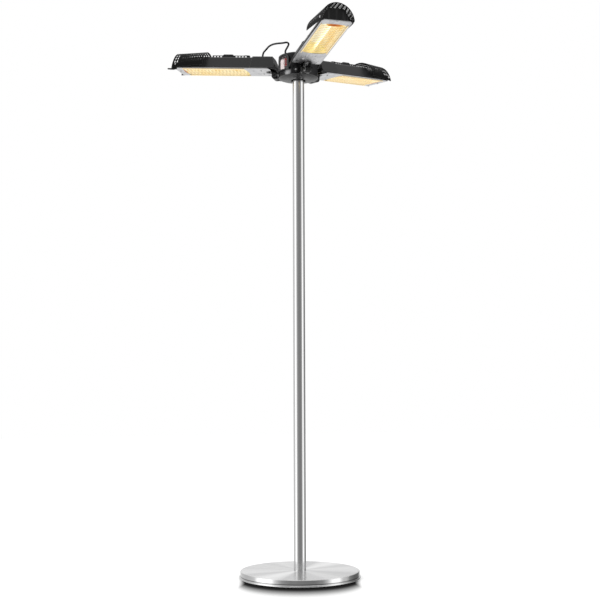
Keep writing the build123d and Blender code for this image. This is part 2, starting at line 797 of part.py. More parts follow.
def window_outline(inset):
    """Window of the frame, with bowed ends, shrunk by an inset."""
    half = window_width / 2 - inset
    start = window_start + inset
    end = window_end - inset
    with BuildSketch() as opening:
        with BuildLine():
            Line((start, half), (end, half))
            ThreePointArc((end, half), (end + window_bow, 0), (end, -half))
            Line((end, -half), (start, -half))
            ThreePointArc((start, -half), (start - window_bow, 0), (start, half))
        outline = make_face()
        fillet(outline.vertices(), window_corner - inset)
    return opening.sketch


with BuildPart() as frame:
    with BuildSketch(Plane.XY.offset(plate_face)):
        with Locations((plate_middle, 0)):
            RectangleRounded(plate_length, plate_width, plate_corner)
    extrude(amount=plate_edge)
    with BuildSketch(Plane.XY.offset(plate_inside)):
        with Locations((plate_middle, 0)):
            RectangleRounded(
                plate_length - 2 * plate_sheet, plate_width - 2 * plate_sheet, plate_corner - plate_sheet
            )
    extrude(amount=plate_edge, mode=Mode.SUBTRACT)
    with BuildSketch(Plane.XY.offset(plate_face)):
        add(window_outline(0))
        with Locations((plate_start, 0)):
            SlotCenterToCenter(notch_width / 4, notch_width)
        with Locations((outer_screw_reach, 0), *bracket_screws):
            Circle(screw_diameter / 2 + fit_gap)
    extrude(amount=plate_sheet, mode=Mode.SUBTRACT)
    with BuildSketch(Plane.XY.offset(plate_face)):
        with Locations((plate_start, 0)):
            Rectangle(4 * plate_sheet, notch_width)
    extrude(amount=plate_edge, mode=Mode.SUBTRACT)
    with BuildSketch(Plane.XY.offset(rim)):
        with Locations((tab_middle, tab_wall), (tab_middle, -tab_wall)):
            Rectangle(tab_length, plate_sheet)
    extrude(amount=tab_height)
    with BuildSketch(Plane.XZ.offset(-plate_width)):
        with Locations((tab_middle, hood_screw_height)):
            Circle(screw_diameter / 2 + fit_gap)
    extrude(amount=2 * plate_width, mode=Mode.SUBTRACT)
place_on_arms(frame.part, "frame")


def arm_section(half_base, half_top, foot, height, corner):
    """Rounded trapezium across an arm."""
    with BuildSketch() as section:
        with BuildLine():
            FilletPolyline(
                (half_base, foot),
                (half_top, foot + height),
                (-half_top, foot + height),
                (-half_base, foot),
                radius=corner,
            )
            Line((-half_base, foot), (half_base, foot))
        make_face()
    return section.sketch


# Arm: housing over the element, with a raised vent along its top and a foot at its outer end
housing_length = housing_end - housing_start
housing_top = rim + housing_height
inner_base = housing_width / 2 - shell_wall
inner_top = housing_top_width / 2 - shell_wall
vent_middle = (vent_start + vent_end) / 2
slot_height = housing_top + vent_slot_lift + vent_slot_height / 2
vent_solid_start = vent_start + vent_solid[0]
vent_solid_end = vent_start + vent_solid[1]
with BuildPart() as housing:
    with BuildSketch(Plane.YZ.offset(housing_start)):
        add(arm_section(housing_width / 2, housing_top_width / 2, rim, housing_height, housing_corner))
    extrude(amount=housing_length)
    with BuildSketch(Plane.XY.offset(housing_top - shell_wall)):
        with Locations((vent_middle, 0)):
            Rectangle(vent_end - vent_start, vent_width)
    extrude(amount=shell_wall + vent_height)
    ridge_top = housing_top + vent_height
    for start, end, height in humps:
        with BuildSketch(Plane.XZ.offset(-vent_width / 2)):
            with BuildLine():
                Polyline(
                    (vent_start + start, ridge_top),
                    (vent_start + start + hump_slope, ridge_top + height),
                    (vent_start + end - hump_slope, ridge_top + height),
                    (vent_start + end, ridge_top),
                    close=True,
                )
            make_face()
        extrude(amount=vent_width)
    with BuildSketch(Plane.YZ.offset(housing_start)):
        add(arm_section(inner_base, inner_top, rim, housing_height - shell_wall, housing_corner - shell_wall))
    extrude(amount=housing_length - shell_wall, mode=Mode.SUBTRACT)
    slot = vent_start + vent_pitch
    while slot < vent_end - vent_slot_length:
        if slot + vent_slot_length < vent_solid_start or slot > vent_solid_end:
            with BuildSketch(Plane.XZ.offset(-vent_width)):
                with Locations((slot + vent_slot_length / 2, slot_height)):
                    Rectangle(vent_slot_length, vent_slot_height)
            extrude(amount=2 * vent_width, mode=Mode.SUBTRACT)
        slot += vent_pitch
    with BuildSketch(Plane.XY.offset(plate_inside)):
        with Locations((housing_end - shell_wall / 2 + foot_length / 2, 0)):
            Rectangle(foot_length + shell_wall, foot_width)
        with Locations((outer_screw_reach, 0)):
            Circle(screw_diameter / 2 + fit_gap, mode=Mode.SUBTRACT)
    extrude(amount=plate_sheet)
    with BuildSketch(Plane.YZ.offset(housing_end - shell_wall)):
        with Locations((0, (plate_inside + rim + shell_wall) / 2)):
            Rectangle(foot_width, rim + shell_wall - plate_inside)
    extrude(amount=shell_wall)
place_on_arms(housing.part, "housing")

# Arm: cover of the terminal box, with a sloping end and two cheeks beside the hinge
box_start = housing_start - seam_gap
box_span = box_start - cheek_end
box_inner_top = box_top_width / 2 - shell_wall
cheek_wall = (housing_width - plate_width) / 2 - fit_gap
with BuildPart() as box_cover:
    with BuildSketch(Plane.YZ.offset(cheek_end)):
        add(arm_section(housing_width / 2, box_top_width / 2, rim, box_height, housing_corner))
    extrude(amount=box_span)
    with BuildSketch(Plane.XZ.offset(-housing_width)):
        with BuildLine():
            Polyline(
                (box_start, rim),
                (box_start, box_top),
                (box_top_start, box_top),
                (box_end, box_end_high),
                (box_end, rim),
                close=True,
            )
        make_face()
    extrude(amount=2 * housing_width, mode=Mode.INTERSECT)
    with BuildSketch(Plane.XZ.offset(-inner_base)):
        with BuildLine():
            Polyline(
                (box_start, 0),
                (box_start, box_top - shell_wall),
                (box_top_start + shell_wall, box_top - shell_wall),
                (box_end + shell_wall, box_end_high),
                (box_end + shell_wall, 0),
                close=True,
            )
        make_face()
    inner_block = extrude(amount=2 * inner_base, mode=Mode.PRIVATE)
    with BuildSketch(Plane.YZ.offset(cheek_end)):
        add(arm_section(inner_base, box_inner_top, rim, box_height - shell_wall, housing_corner - shell_wall))
    inner_run = extrude(amount=box_span, mode=Mode.PRIVATE)
    add(inner_run & inner_block, mode=Mode.SUBTRACT)
    for side in (-housing_width / 2, housing_width / 2 - cheek_wall):
        with BuildSketch(Plane.XZ.offset(-side - cheek_wall)):
            with BuildLine():
                Polyline(
                    (cheek_start, rim),
                    (cheek_start, rim + shell_wall),
                    (cheek_end + cheek_wall, rim + shell_wall),
                    (cheek_end, rim - shell_wall),
                    (cheek_end, cheek_low),
                    (plate_start, (rim + plate_face) / 2),
                    close=True,
                )
            make_face()
        extrude(amount=cheek_wall)
    with BuildSketch(Plane.XY.offset(box_top - shell_wall)):
        with Locations((box_gland_reach, 0)):
            Circle(box_gland_diameter / 2)
    extrude(amount=shell_wall + box_gland_height, taper=8)
    with BuildSketch(Plane.XY.offset(box_top - 2 * shell_wall)):
        with Locations((box_gland_reach, 0)):
            Circle(lead_diameter / 2 + fit_gap)
    extrude(amount=4 * box_gland_height, mode=Mode.SUBTRACT)
place_on_arms(box_cover.part, "box_cover")


def hood_half_width(reach, height):
    """Half the width over the hood at a place along the arm and a height above its hinge."""
    share = (hood_outer - reach) / (hood_outer - hood_inner)
    half = (hood_outer_width + share * (hood_inner_width - hood_outer_width)) / 2
    foot = plate_face + share * (rim + hood_inner_lift - plate_face)
    crown = rim + hood_outer_rise + share * (hood_inner_rise - hood_outer_rise)
    return half * sqrt(1 - ((height - foot) / (crown - foot)) ** 2)


def hood_solid(inset):
    """Arch that widens and lifts towards the hub, shrunk by an inset."""
    with BuildPart() as arch:
        for reach, width, foot, crown in (
            (hood_inner, hood_inner_width, rim + hood_inner_lift, rim + hood_inner_rise),
            (hood_outer, hood_outer_width, plate_face, rim + hood_outer_rise),
        ):
            with BuildSketch(Plane.YZ.offset(reach)):
                with BuildLine():
                    EllipticalCenterArc((0, foot), width / 2 - inset, crown - foot - inset, arc_size=180)
                    Line((inset - width / 2, foot), (width / 2 - inset, foot))
                make_face()
        loft(ruled=True)
    return arch.part


# Arm: hood with leaning ends and rows of slots around its arch
fan_height = rim + hood_inner_lift
slot_start = hood_inner_top + slot_margin
slot_pitch = (hood_outer_top - slot_margin - slot_start) / (slot_columns - 1)
with BuildPart() as hood:
    add(hood_solid(0))
    add(hood_solid(hood_wall), mode=Mode.SUBTRACT)
    with BuildSketch(Plane.XZ.offset(-hood_inner_width)):
        with BuildLine():
            Polyline(
                (hood_inner, plate_face),
                (hood_inner, rim + hood_inner_lift),
                (hood_inner_top, rim + hood_inner_rise),
                (hood_outer_top, rim + hood_inner_rise),
                (hood_outer, plate_face),
                close=True,
            )
        make_face()
    extrude(amount=2 * hood_inner_width, mode=Mode.INTERSECT)
    for row in range(slot_rows):
        angle = radians(slot_fan * (row / (slot_rows - 1) - 1 / 2))
        fan = Plane(origin=(0, 0, fan_height), x_dir=(1, 0, 0), z_dir=(0, sin(angle), cos(angle)))
        with BuildSketch(fan.offset(hood_inner_rise / 3)):
            with Locations(*[(slot_start + column * slot_pitch, 0) for column in range(slot_columns)]):
                SlotOverall(slot_length, slot_width, rotation=90)
        extrude(amount=hood_inner_width, mode=Mode.SUBTRACT)
    with BuildSketch(Plane.XZ.offset(-hood_inner_width)):
        with Locations((tab_middle, hood_screw_height)):
            Circle(screw_diameter / 2 + fit_gap)
    extrude(amount=2 * hood_inner_width, mode=Mode.SUBTRACT)
for arm in arm_azimuths:
    if arm != pull_tab_arm:
        place_on_arm(hood.part, arm, "hood")

# Arm: the hood of one arm has a pull tab at its outer corner
tab_root = plate_width / 2 + side_gap
tab_inside = pull_tab_side - pull_tab_width
with BuildPart() as tabbed_hood:
    add(hood.part)
    with BuildSketch(Plane.XY.offset(plate_face - pull_tab_drop)):
        with Locations(((pull_tab_start + hood_outer) / 2, (tab_root + pull_tab_side) / 2)):
            Rectangle(hood_outer - pull_tab_start, pull_tab_side - tab_root)
    extrude(amount=pull_tab_drop + pull_tab_thickness)
    with BuildSketch(Plane.XY.offset(plate_face - pull_tab_drop)):
        with BuildLine():
            Polyline(
                (pull_tab_start, tab_root),
                (plate_end + side_gap, tab_root),
                (plate_end + side_gap, tab_inside),
                (hood_outer, tab_inside),
                (pull_tab_end, tab_root),
                (pull_tab_end, pull_tab_side),
                (pull_tab_start, pull_tab_side),
                close=True,
            )
        outline = make_face()
        fillet(outline.vertices().group_by(Axis.X)[-1], pull_tab_corner)
    extrude(amount=pull_tab_thickness)
place_on_arm(tabbed_hood.part, pull_tab_arm, "hood")

# Arm: trough reflector with closed ends, lying on the frame around the window
reflector_half = window_width / 2
reflector_outside = reflector_half + reflector_sheet
trough_start = window_start - window_bow
trough_end = window_end + window_bow
trough_length = trough_end - trough_start
with BuildPart() as reflector:
    with BuildSketch(Plane.YZ.offset(trough_start - reflector_sheet)):
        with BuildLine():
            EllipticalCenterArc(
                (0, plate_inside), reflector_outside, reflector_depth + reflector_sheet, arc_size=180
            )
            Line((-reflector_outside, plate_inside), (reflector_outside, plate_inside))
        make_face()
        with Locations((0, plate_inside + reflector_sheet / 2)):
            Rectangle(2 * (reflector_half + reflector_flange), reflector_sheet)
    extrude(amount=trough_length + 2 * reflector_sheet)
    with BuildSketch(Plane.YZ.offset(trough_start)):
        with BuildLine():
            EllipticalCenterArc((0, plate_inside), reflector_half, reflector_depth, arc_size=180)
            Line((-reflector_half, plate_inside), (reflector_half, plate_inside))
        make_face()
    extrude(amount=trough_length, mode=Mode.SUBTRACT)
    with BuildSketch(Plane.YZ.offset(housing_start)):
        with Locations((0, lamp_height)):
            Circle(lamp_cap_diameter / 2 + side_gap)
    extrude(amount=housing_length, mode=Mode.SUBTRACT)
place_on_arms(reflector.part, "reflector")

# Arm: quartz lamp with two ceramic caps, and the holders that carry it
cap_start = trough_start - lamp_cap_length
cap_finish = trough_end + lamp_cap_length
with BuildPart() as lamp:
    with BuildSketch(Plane.YZ.offset(cap_start)):
        with Locations((0, lamp_height)):
            Circle(lamp_cap_diameter / 2)
    extrude(amount=lamp_cap_length)
    with BuildSketch(Plane.YZ.offset(trough_start)):
        with Locations((0, lamp_height)):
            Circle(lamp_diameter / 2)
    extrude(amount=trough_length)
    with BuildSketch(Plane.YZ.offset(trough_end)):
        with Locations((0, lamp_height)):
            Circle(lamp_cap_diameter / 2)
    extrude(amount=lamp_cap_length)
place_on_arms(lamp.part, "lamp")

holder_stand_off = reflector_sheet + side_gap
with BuildPart() as lamp_holders:
    for start in (trough_start - holder_stand_off - holder_length, trough_end + holder_stand_off):
        with BuildSketch(Plane.YZ.offset(start)):
            with Locations((0, plate_inside + holder_height / 2)):
                Rectangle(holder_width, holder_height)
        extrude(amount=holder_length)
    with BuildSketch(Plane.YZ.offset(cap_start)):
        with Locations((0, lamp_height)):
            Circle(lamp_cap_diameter / 2 + fit_gap)
    extrude(amount=cap_finish - cap_start, mode=Mode.SUBTRACT)
place_on_arms(lamp_holders.part, "lamp_holders")

# Arm: guard of cross wires on two long rods, under the window
guard_reach = window_width / 2 + guard_overlap
wire_height = plate_face - guard_wire / 2
rod_height = plate_face - guard_rod / 2
guard_wires = int(window_length // guard_pitch)
guard_first = window_middle - (guard_wires - 1) * guard_pitch / 2
with BuildPart() as guard:
    with BuildSketch(Plane.YZ.offset(window_start - guard_overlap)):
        with Locations((-guard_reach, rod_height), (guard_reach, rod_height)):
            Circle(guard_rod / 2)
    extrude(amount=window_length + 2 * guard_overlap)
    with BuildSketch(Plane.XZ.offset(-guard_reach)):
        for wire in range(guard_wires):
            with Locations((guard_first + wire * guard_pitch, wire_height)):
                Circle(guard_wire / 2)
    extrude(amount=2 * guard_reach)
place_on_arms(guard.part, "guard")

# Arm: screws of the plate, the hinge bracket and the hood
hood_screw_seat = hood_half_width(tab_middle - screw_head / 2, hood_screw_height - screw_head / 2) + fit_gap
with BuildPart() as screws:
    for reach, side, grip in (
        (outer_screw_reach, 0, plate_sheet),
        *((reach, side, bracket_thickness) for reach, side in bracket_screws),
    ):
        with BuildSketch(Plane.XY.offset(plate_face)):
            with Locations((reach, side)):
                Circle(screw_head / 2)
        extrude(amount=-screw_head_height, taper=20)
        with BuildSketch(Plane.XY.offset(plate_face)):
            with Locations((reach, side)):
                Circle(screw_diameter / 2)
        extrude(amount=plate_sheet + grip)
    for side in (1, -1):
        outside = Plane(origin=(tab_middle, side * hood_screw_seat, hood_screw_height), z_dir=(0, side, 0))
        with BuildSketch(outside):
            Circle(screw_head / 2)
        extrude(amount=screw_head_height, taper=20)
        with BuildSketch(outside):
            Circle(screw_diameter / 2)
        extrude(amount=plate_width / 2 - 2 * plate_sheet - hood_screw_seat)
place_on_arms(screws.part, "screws")

# Leads: each leaves the hub upwards, folds back over it and drops into the box of its arm
gland_top = cap_top + gland_flange_height + gland_dome_height


def on_arm(arm, reach, height):
    """Distance from the pole, sideways and height of a point given along and above an arm."""
    tilt = radians(arm_tilts[arm])
    return (
        hinge_radius + reach * cos(tilt) - height * sin(tilt),
        0,
        hinge_height + reach * sin(tilt) + height * cos(tilt),
    )


for arm, azimuth in arm_azimuths.items():
    lead_route = [
        (lead_gland_radius, 0, drum_top - gland_nut_height - lead_tail),
        (lead_gland_radius, 0, gland_top + 2 * lead_diameter),
        *[(radius, sideways, cap_top + height) for radius, sideways, height in lead_loop],
        on_arm(arm, box_gland_reach, box_top + box_gland_height + 2 * lead_diameter),
        on_arm(arm, box_gland_reach, box_top - shell_wall - lead_tail),
    ]
    lead_bends = []
    for before, here, after in zip(lead_route, lead_route[1:], lead_route[2:]):
        run_in = Vector(*here) - Vector(*before)
        run_out = Vector(*after) - Vector(*here)
        turn = radians(run_in.get_angle(run_out))
        lead_bends.append(0.45 * min(run_in.length, run_out.length) / tan(turn / 2))
    with BuildPart() as lead:
        with BuildLine() as lead_line:
            FilletPolyline(*lead_route, radius=lead_bends)
        with BuildSketch(Plane(origin=lead_route[0], z_dir=(0, 0, 1))):
            Circle(lead_diameter / 2)
        sweep()
    turned = lead.part.rotate(Axis.Z, azimuth)
    turned.label = f"{arm}_lead"
    export_step(turned, f"parts/{arm}_lead.step")
    lead_length = lead_line.wires()[0].length
    lead_section = pi * lead_diameter**2 / 4
    print(arm, "lead radii", [round(bend, 1) for bend in lead_bends])
    print(arm, "lead length", round(lead_length, 1))
    print(arm, "lead volume", round(lead.part.volume), "of", round(lead_section * lead_length))
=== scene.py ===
"""Scene of the outdoor heater: camera, studio light, materials, leads, window lips and hoods."""
import json
import math

import bmesh
import bpy
from mathutils import Matrix, Vector


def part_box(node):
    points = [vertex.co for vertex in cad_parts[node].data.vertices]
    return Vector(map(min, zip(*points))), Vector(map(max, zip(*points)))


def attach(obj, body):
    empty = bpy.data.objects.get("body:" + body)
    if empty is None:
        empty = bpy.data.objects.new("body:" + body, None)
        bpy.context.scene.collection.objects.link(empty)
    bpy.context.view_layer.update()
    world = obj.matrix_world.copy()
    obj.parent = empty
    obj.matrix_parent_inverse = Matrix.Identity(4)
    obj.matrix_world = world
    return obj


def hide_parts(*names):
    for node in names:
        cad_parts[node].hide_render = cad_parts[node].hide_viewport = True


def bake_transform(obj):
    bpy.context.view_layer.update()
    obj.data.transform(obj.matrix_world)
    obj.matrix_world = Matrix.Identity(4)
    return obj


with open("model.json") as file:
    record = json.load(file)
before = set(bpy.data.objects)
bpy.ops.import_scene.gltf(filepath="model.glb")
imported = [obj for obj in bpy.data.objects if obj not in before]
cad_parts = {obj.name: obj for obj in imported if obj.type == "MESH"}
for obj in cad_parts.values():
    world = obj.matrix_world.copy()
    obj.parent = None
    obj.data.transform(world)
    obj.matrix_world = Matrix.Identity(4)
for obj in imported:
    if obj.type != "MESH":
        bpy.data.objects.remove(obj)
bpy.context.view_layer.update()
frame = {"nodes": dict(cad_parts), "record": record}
nodes = frame["nodes"]
scene = bpy.context.scene
scene.view_settings.view_transform = "Standard"

# Arms: azimuth and upward tilt at rest, in degrees
ARMS = {"front": (270.0, 6.4), "right": (30.0, 6.4), "left": (150.0, 4.6)}
# Sizes of an arm in its own frame, in metres: ends along the arm, half widths across it
HINGE_RADIUS = 0.088
HINGE_HEIGHT = 1.889
WINDOW = (0.118, 0.362)
WINDOW_HALF = 0.045
WINDOW_BOW = 0.007
TROUGH = (0.111, 0.369)
TROUGH_HALF = 0.046


def arm_matrix(arm):
    """Frame of an arm at rest: origin on the hinge axis, x along the arm, z up."""
    azimuth, tilt = ARMS[arm]
    spin = math.radians(azimuth)
    turn = Matrix.Rotation(spin, 4, "Z") @ Matrix.Rotation(-math.radians(tilt), 4, "Y")
    hinge = Vector((HINGE_RADIUS * math.cos(spin), HINGE_RADIUS * math.sin(spin), HINGE_HEIGHT))
    return Matrix.Translation(hinge) @ turn


# Camera, at the photograph's place
VIEW_TURN = math.radians(16.45)
VIEW_PITCH = math.radians(4.343)
VIEW_ROLL = math.radians(-0.2042)
CAMERA_SIDE = 0.0036
CAMERA_BACK = 4.249
CAMERA_HEIGHT = 0.7058
ahead = Vector((math.sin(VIEW_TURN), math.cos(VIEW_TURN), 0))
right = Vector((math.cos(VIEW_TURN), -math.sin(VIEW_TURN), 0))
up = Vector((0, 0, 1))
look = ahead * math.cos(VIEW_PITCH) + up * math.sin(VIEW_PITCH)
lift = up * math.cos(VIEW_PITCH) - ahead * math.sin(VIEW_PITCH)
cam_right = right * math.cos(VIEW_ROLL) + lift * math.sin(VIEW_ROLL)
cam_up = lift * math.cos(VIEW_ROLL) - right * math.sin(VIEW_ROLL)
cam_place = right * CAMERA_SIDE - ahead * CAMERA_BACK + up * CAMERA_HEIGHT
cam_data = bpy.data.cameras.new("camera")
cam_data.sensor_width = 36.0
cam_data.lens = 67.99
cam_data.clip_end = 100
camera = bpy.data.objects.new("camera", cam_data)
scene.collection.objects.link(camera)
camera.matrix_world = Matrix((
    (cam_right.x, cam_up.x, -look.x, cam_place.x),
    (cam_right.y, cam_up.y, -look.y, cam_place.y),
    (cam_right.z, cam_up.z, -look.z, cam_place.z),
    (0, 0, 0, 1),
))
scene.camera = camera


class Tree:
    """Small helper around a node tree."""

    def __init__(self, tree):
        self.tree = tree
        tree.nodes.clear()

    def node(self, kind, **settings):
        made = self.tree.nodes.new(kind)
        for key, value in settings.items():
            setattr(made, key, value)
        return made

    def link(self, source, target):
        self.tree.links.new(source, target)

    def feed(self, socket, value):
        """Give a socket a number, a colour or a link."""
        if isinstance(value, (int, float)):
            socket.default_value = value
        elif isinstance(value, tuple):
            socket.default_value = (*value, 1)
        else:
            self.link(value, socket)

    def math(self, operation, *values):
        made = self.node("ShaderNodeMath", operation=operation)
        for socket, value in zip(made.inputs, values):
            self.feed(socket, value)
        return made.outputs[0]

    def dot(self, a, vector):
        made = self.node("ShaderNodeVectorMath", operation="DOT_PRODUCT")
        self.link(a, made.inputs[0])
        made.inputs[1].default_value = vector
        return made.outputs["Value"]

    def ramp(self, value, stops, interpolation="LINEAR"):
        """Colours or grey levels at given positions."""
        made = self.node("ShaderNodeValToRGB")
        made.color_ramp.interpolation = interpolation
        elements = made.color_ramp.elements
        while len(elements) < len(stops):
            elements.new(0.5)
        for element, (position, colour) in zip(elements, stops):
            element.position = position
            if isinstance(colour, (int, float)):
                colour = (colour, colour, colour)
            element.color = (*colour, 1)
        self.link(value, made.inputs[0])
        return made.outputs[0]

    def mix(self, factor, a, b):
        made = self.node("ShaderNodeMix", data_type="RGBA")
        for socket, value in ((made.inputs[0], factor), (made.inputs[6], a), (made.inputs[7], b)):
            self.feed(socket, value)
        return made.outputs[2]

    def span(self, value, low, high, to_low=0.0, to_high=1.0):
        """Map a range to another, clamped at its ends."""
        made = self.node("ShaderNodeMapRange")
        self.link(value, made.inputs[0])
        for socket, number in zip(made.inputs[1:5], (low, high, to_low, to_high)):
            socket.default_value = number
        return made.outputs[0]

    def noise(self, vector, scale, detail=2.0, roughness=0.5):
        made = self.node("ShaderNodeTexNoise")
        made.inputs["Scale"].default_value = scale
        made.inputs["Detail"].default_value = detail
        made.inputs["Roughness"].default_value = roughness
        self.link(vector, made.inputs["Vector"])
        return made.outputs[0]

    def mapped(self, vector, scale=(1, 1, 1), matrix=None):
        made = self.node("ShaderNodeMapping")
        self.link(vector, made.inputs[0])
        made.inputs["Scale"].default_value = scale
        if matrix is not None:
            made.inputs["Location"].default_value = matrix.to_translation()
            made.inputs["Rotation"].default_value = matrix.to_euler("XYZ")
        return made.outputs[0]

    def split(self, vector):
        made = self.node("ShaderNodeSeparateXYZ")
        self.link(vector, made.inputs[0])
        return made.outputs

    def join(self, x, y, z):
        made = self.node("ShaderNodeCombineXYZ")
        for socket, value in zip(made.inputs, (x, y, z)):
            self.feed(socket, value)
        return made.outputs[0]


# World: white to the eye, a studio of two tall soft boxes to what reflects, plain grey light to the rest
STUDIO = [
    (-180, 0.92), (-164, 0.85), (-150, 0.66), (-97, 0.66), (-86, 1.4), (-58, 1.4), (-50, 0.75), (-38, 0.42),
    (-21, 0.27), (0, 0.24), (28, 0.22), (45, 0.34), (54, 0.62), (60, 1.0), (66, 1.4), (79, 1.4), (89, 0.68),
    (101, 0.62), (111, 0.24), (128, 0.14), (150, 0.17), (167, 0.8), (180, 0.92),
]
CEILING = (0.95, 0.95, 0.95)
SOFT_LIGHT = (0.82, 0.82, 0.82)
world = bpy.data.worlds.new("studio")
scene.world = world
world.use_nodes = True
sky = Tree(world.node_tree)
direction = sky.node("ShaderNodeTexCoord").outputs["Generated"]
towards = sky.dot(direction, (-ahead.x, -ahead.y, 0))
sideways = sky.dot(direction, (right.x, right.y, 0))
bearing = sky.span(sky.math("ARCTAN2", sideways, towards), -math.pi, math.pi)
walls = sky.ramp(bearing, [(angle / 360 + 0.5, level) for angle, level in STUDIO])
height = sky.split(direction)[2]
room = sky.mix(sky.span(height, 0.45, 0.8), walls, CEILING)
path = sky.node("ShaderNodeLightPath")
seen = sky.mix(path.outputs["Is Glossy Ray"], SOFT_LIGHT, room)
through = sky.math("MAXIMUM", path.outputs["Is Camera Ray"], path.outputs["Is Transmission Ray"])
seen = sky.mix(through, seen, (1, 1, 1))
background = sky.node("ShaderNodeBackground")
sky.link(seen, background.inputs[0])
sky.link(background.outputs[0], sky.node("ShaderNodeOutputWorld").inputs[0])

# Lamps: place, the height on the pole they point at, and power in watts
LAMP_SIZE = 1.6
LAMPS = {
    "key": (-ahead * 2.6 - right * 2.8 + up * 3.4, 1.5, 60),
    "fill": (-ahead * 3.0 + right * 2.6 + up * 2.0, 1.3, 25),
}
for name, (lamp_place, aim, power) in LAMPS.items():
    light = bpy.data.lights.new(name, "AREA")
    light.shape = "RECTANGLE"
    light.size = light.size_y = LAMP_SIZE
    light.energy = power
    lamp = bpy.data.objects.new(name, light)
    scene.collection.objects.link(lamp)
    lamp.location = lamp_place
    lamp.rotation_euler = (up * aim - lamp_place).to_track_quat("-Z", "Y").to_euler()
    lamp.visible_glossy = False

# Floor: pale, white to the eye. It keeps the shadows that the lamps throw, and the soft shadow in front of
# the base is drawn in its material. Mirror rays pass through it to the studio, and so does a view from below.
FLOOR_REACH = 12.0
FLOOR_HEIGHT = -0.0004
FLOOR_TONE = (0.85, 0.85, 0.85)
FLOOR_SHINE = 0.34
BASE_RADIUS = 0.222
SHADE_DEPTH = 0.26
SHADE_SIDES = (0.195, 0.227)
SHADE = [
    (0.0, 0.01), (0.13, 0.02), (0.2, 0.09), (0.29, 0.23), (0.4, 0.4), (0.5, 0.6), (0.6, 0.77),
    (0.73, 0.88), (1.0, 1.0),
]
corners = [(-1, -1), (1, -1), (1, 1), (-1, 1)]
floor_mesh = bpy.data.meshes.new("floor")
floor_mesh.from_pydata(
    [(FLOOR_REACH * x, FLOOR_REACH * y, FLOOR_HEIGHT) for x, y in corners], [], [(0, 1, 2, 3)])
floor = bpy.data.objects.new("floor", floor_mesh)
scene.collection.objects.link(floor)
floor_material = bpy.data.materials.new("floor")
floor_material.use_nodes = True
ground = Tree(floor_material.node_tree)
spot = ground.node("ShaderNodeTexCoord").outputs["Object"]
beside = ground.math("ABSOLUTE", ground.dot(spot, right))
before = ground.dot(spot, -ahead)
square = ground.math("SUBTRACT", BASE_RADIUS ** 2, ground.math("MULTIPLY", beside, beside))
rim_line = ground.math("SQRT", ground.math("MAXIMUM", square, 0.0))
shade = ground.ramp(ground.span(ground.math("SUBTRACT", before, rim_line), 0.0, SHADE_DEPTH), SHADE)
side_fade = ground.ramp(ground.span(beside, *SHADE_SIDES), [(0, 0), (1, 1)], "EASE")
shade = ground.math("MAXIMUM", shade, side_fade)
past_rim = ground.math("SUBTRACT", ground.math("MULTIPLY", before, -1.0), rim_line)
behind = ground.math("MULTIPLY", ground.span(before, 0.03, -0.03), ground.span(past_rim, -0.004, 0.02))
shade = ground.math("MAXIMUM", shade, behind)
pale = ground.node("ShaderNodeBsdfDiffuse")
ground.link(ground.mix(shade, (0, 0, 0), FLOOR_TONE), pale.inputs[0])
shine = ground.node("ShaderNodeEmission")
ground.link(ground.math("MULTIPLY", shade, FLOOR_SHINE), shine.inputs["Strength"])
both = ground.node("ShaderNodeAddShader")
ground.link(pale.outputs[0], both.inputs[0])
ground.link(shine.outputs[0], both.inputs[1])
rays = ground.node("ShaderNodeLightPath")
to_eye = ground.node("ShaderNodeMixShader")
ground.link(rays.outputs["Is Camera Ray"], to_eye.inputs[0])
ground.link(pale.outputs[0], to_eye.inputs[1])
ground.link(both.outputs[0], to_eye.inputs[2])
underside = ground.node("ShaderNodeNewGeometry").outputs["Backfacing"]
clear = ground.node("ShaderNodeMixShader")
ground.link(ground.math("MAXIMUM", rays.outputs["Is Glossy Ray"], underside), clear.inputs[0])
ground.link(to_eye.outputs[0], clear.inputs[1])
ground.link(ground.node("ShaderNodeBsdfTransparent").outputs[0], clear.inputs[2])
ground.link(clear.outputs[0], ground.node("ShaderNodeOutputMaterial").inputs[0])
floor_mesh.materials.append(floor_material)


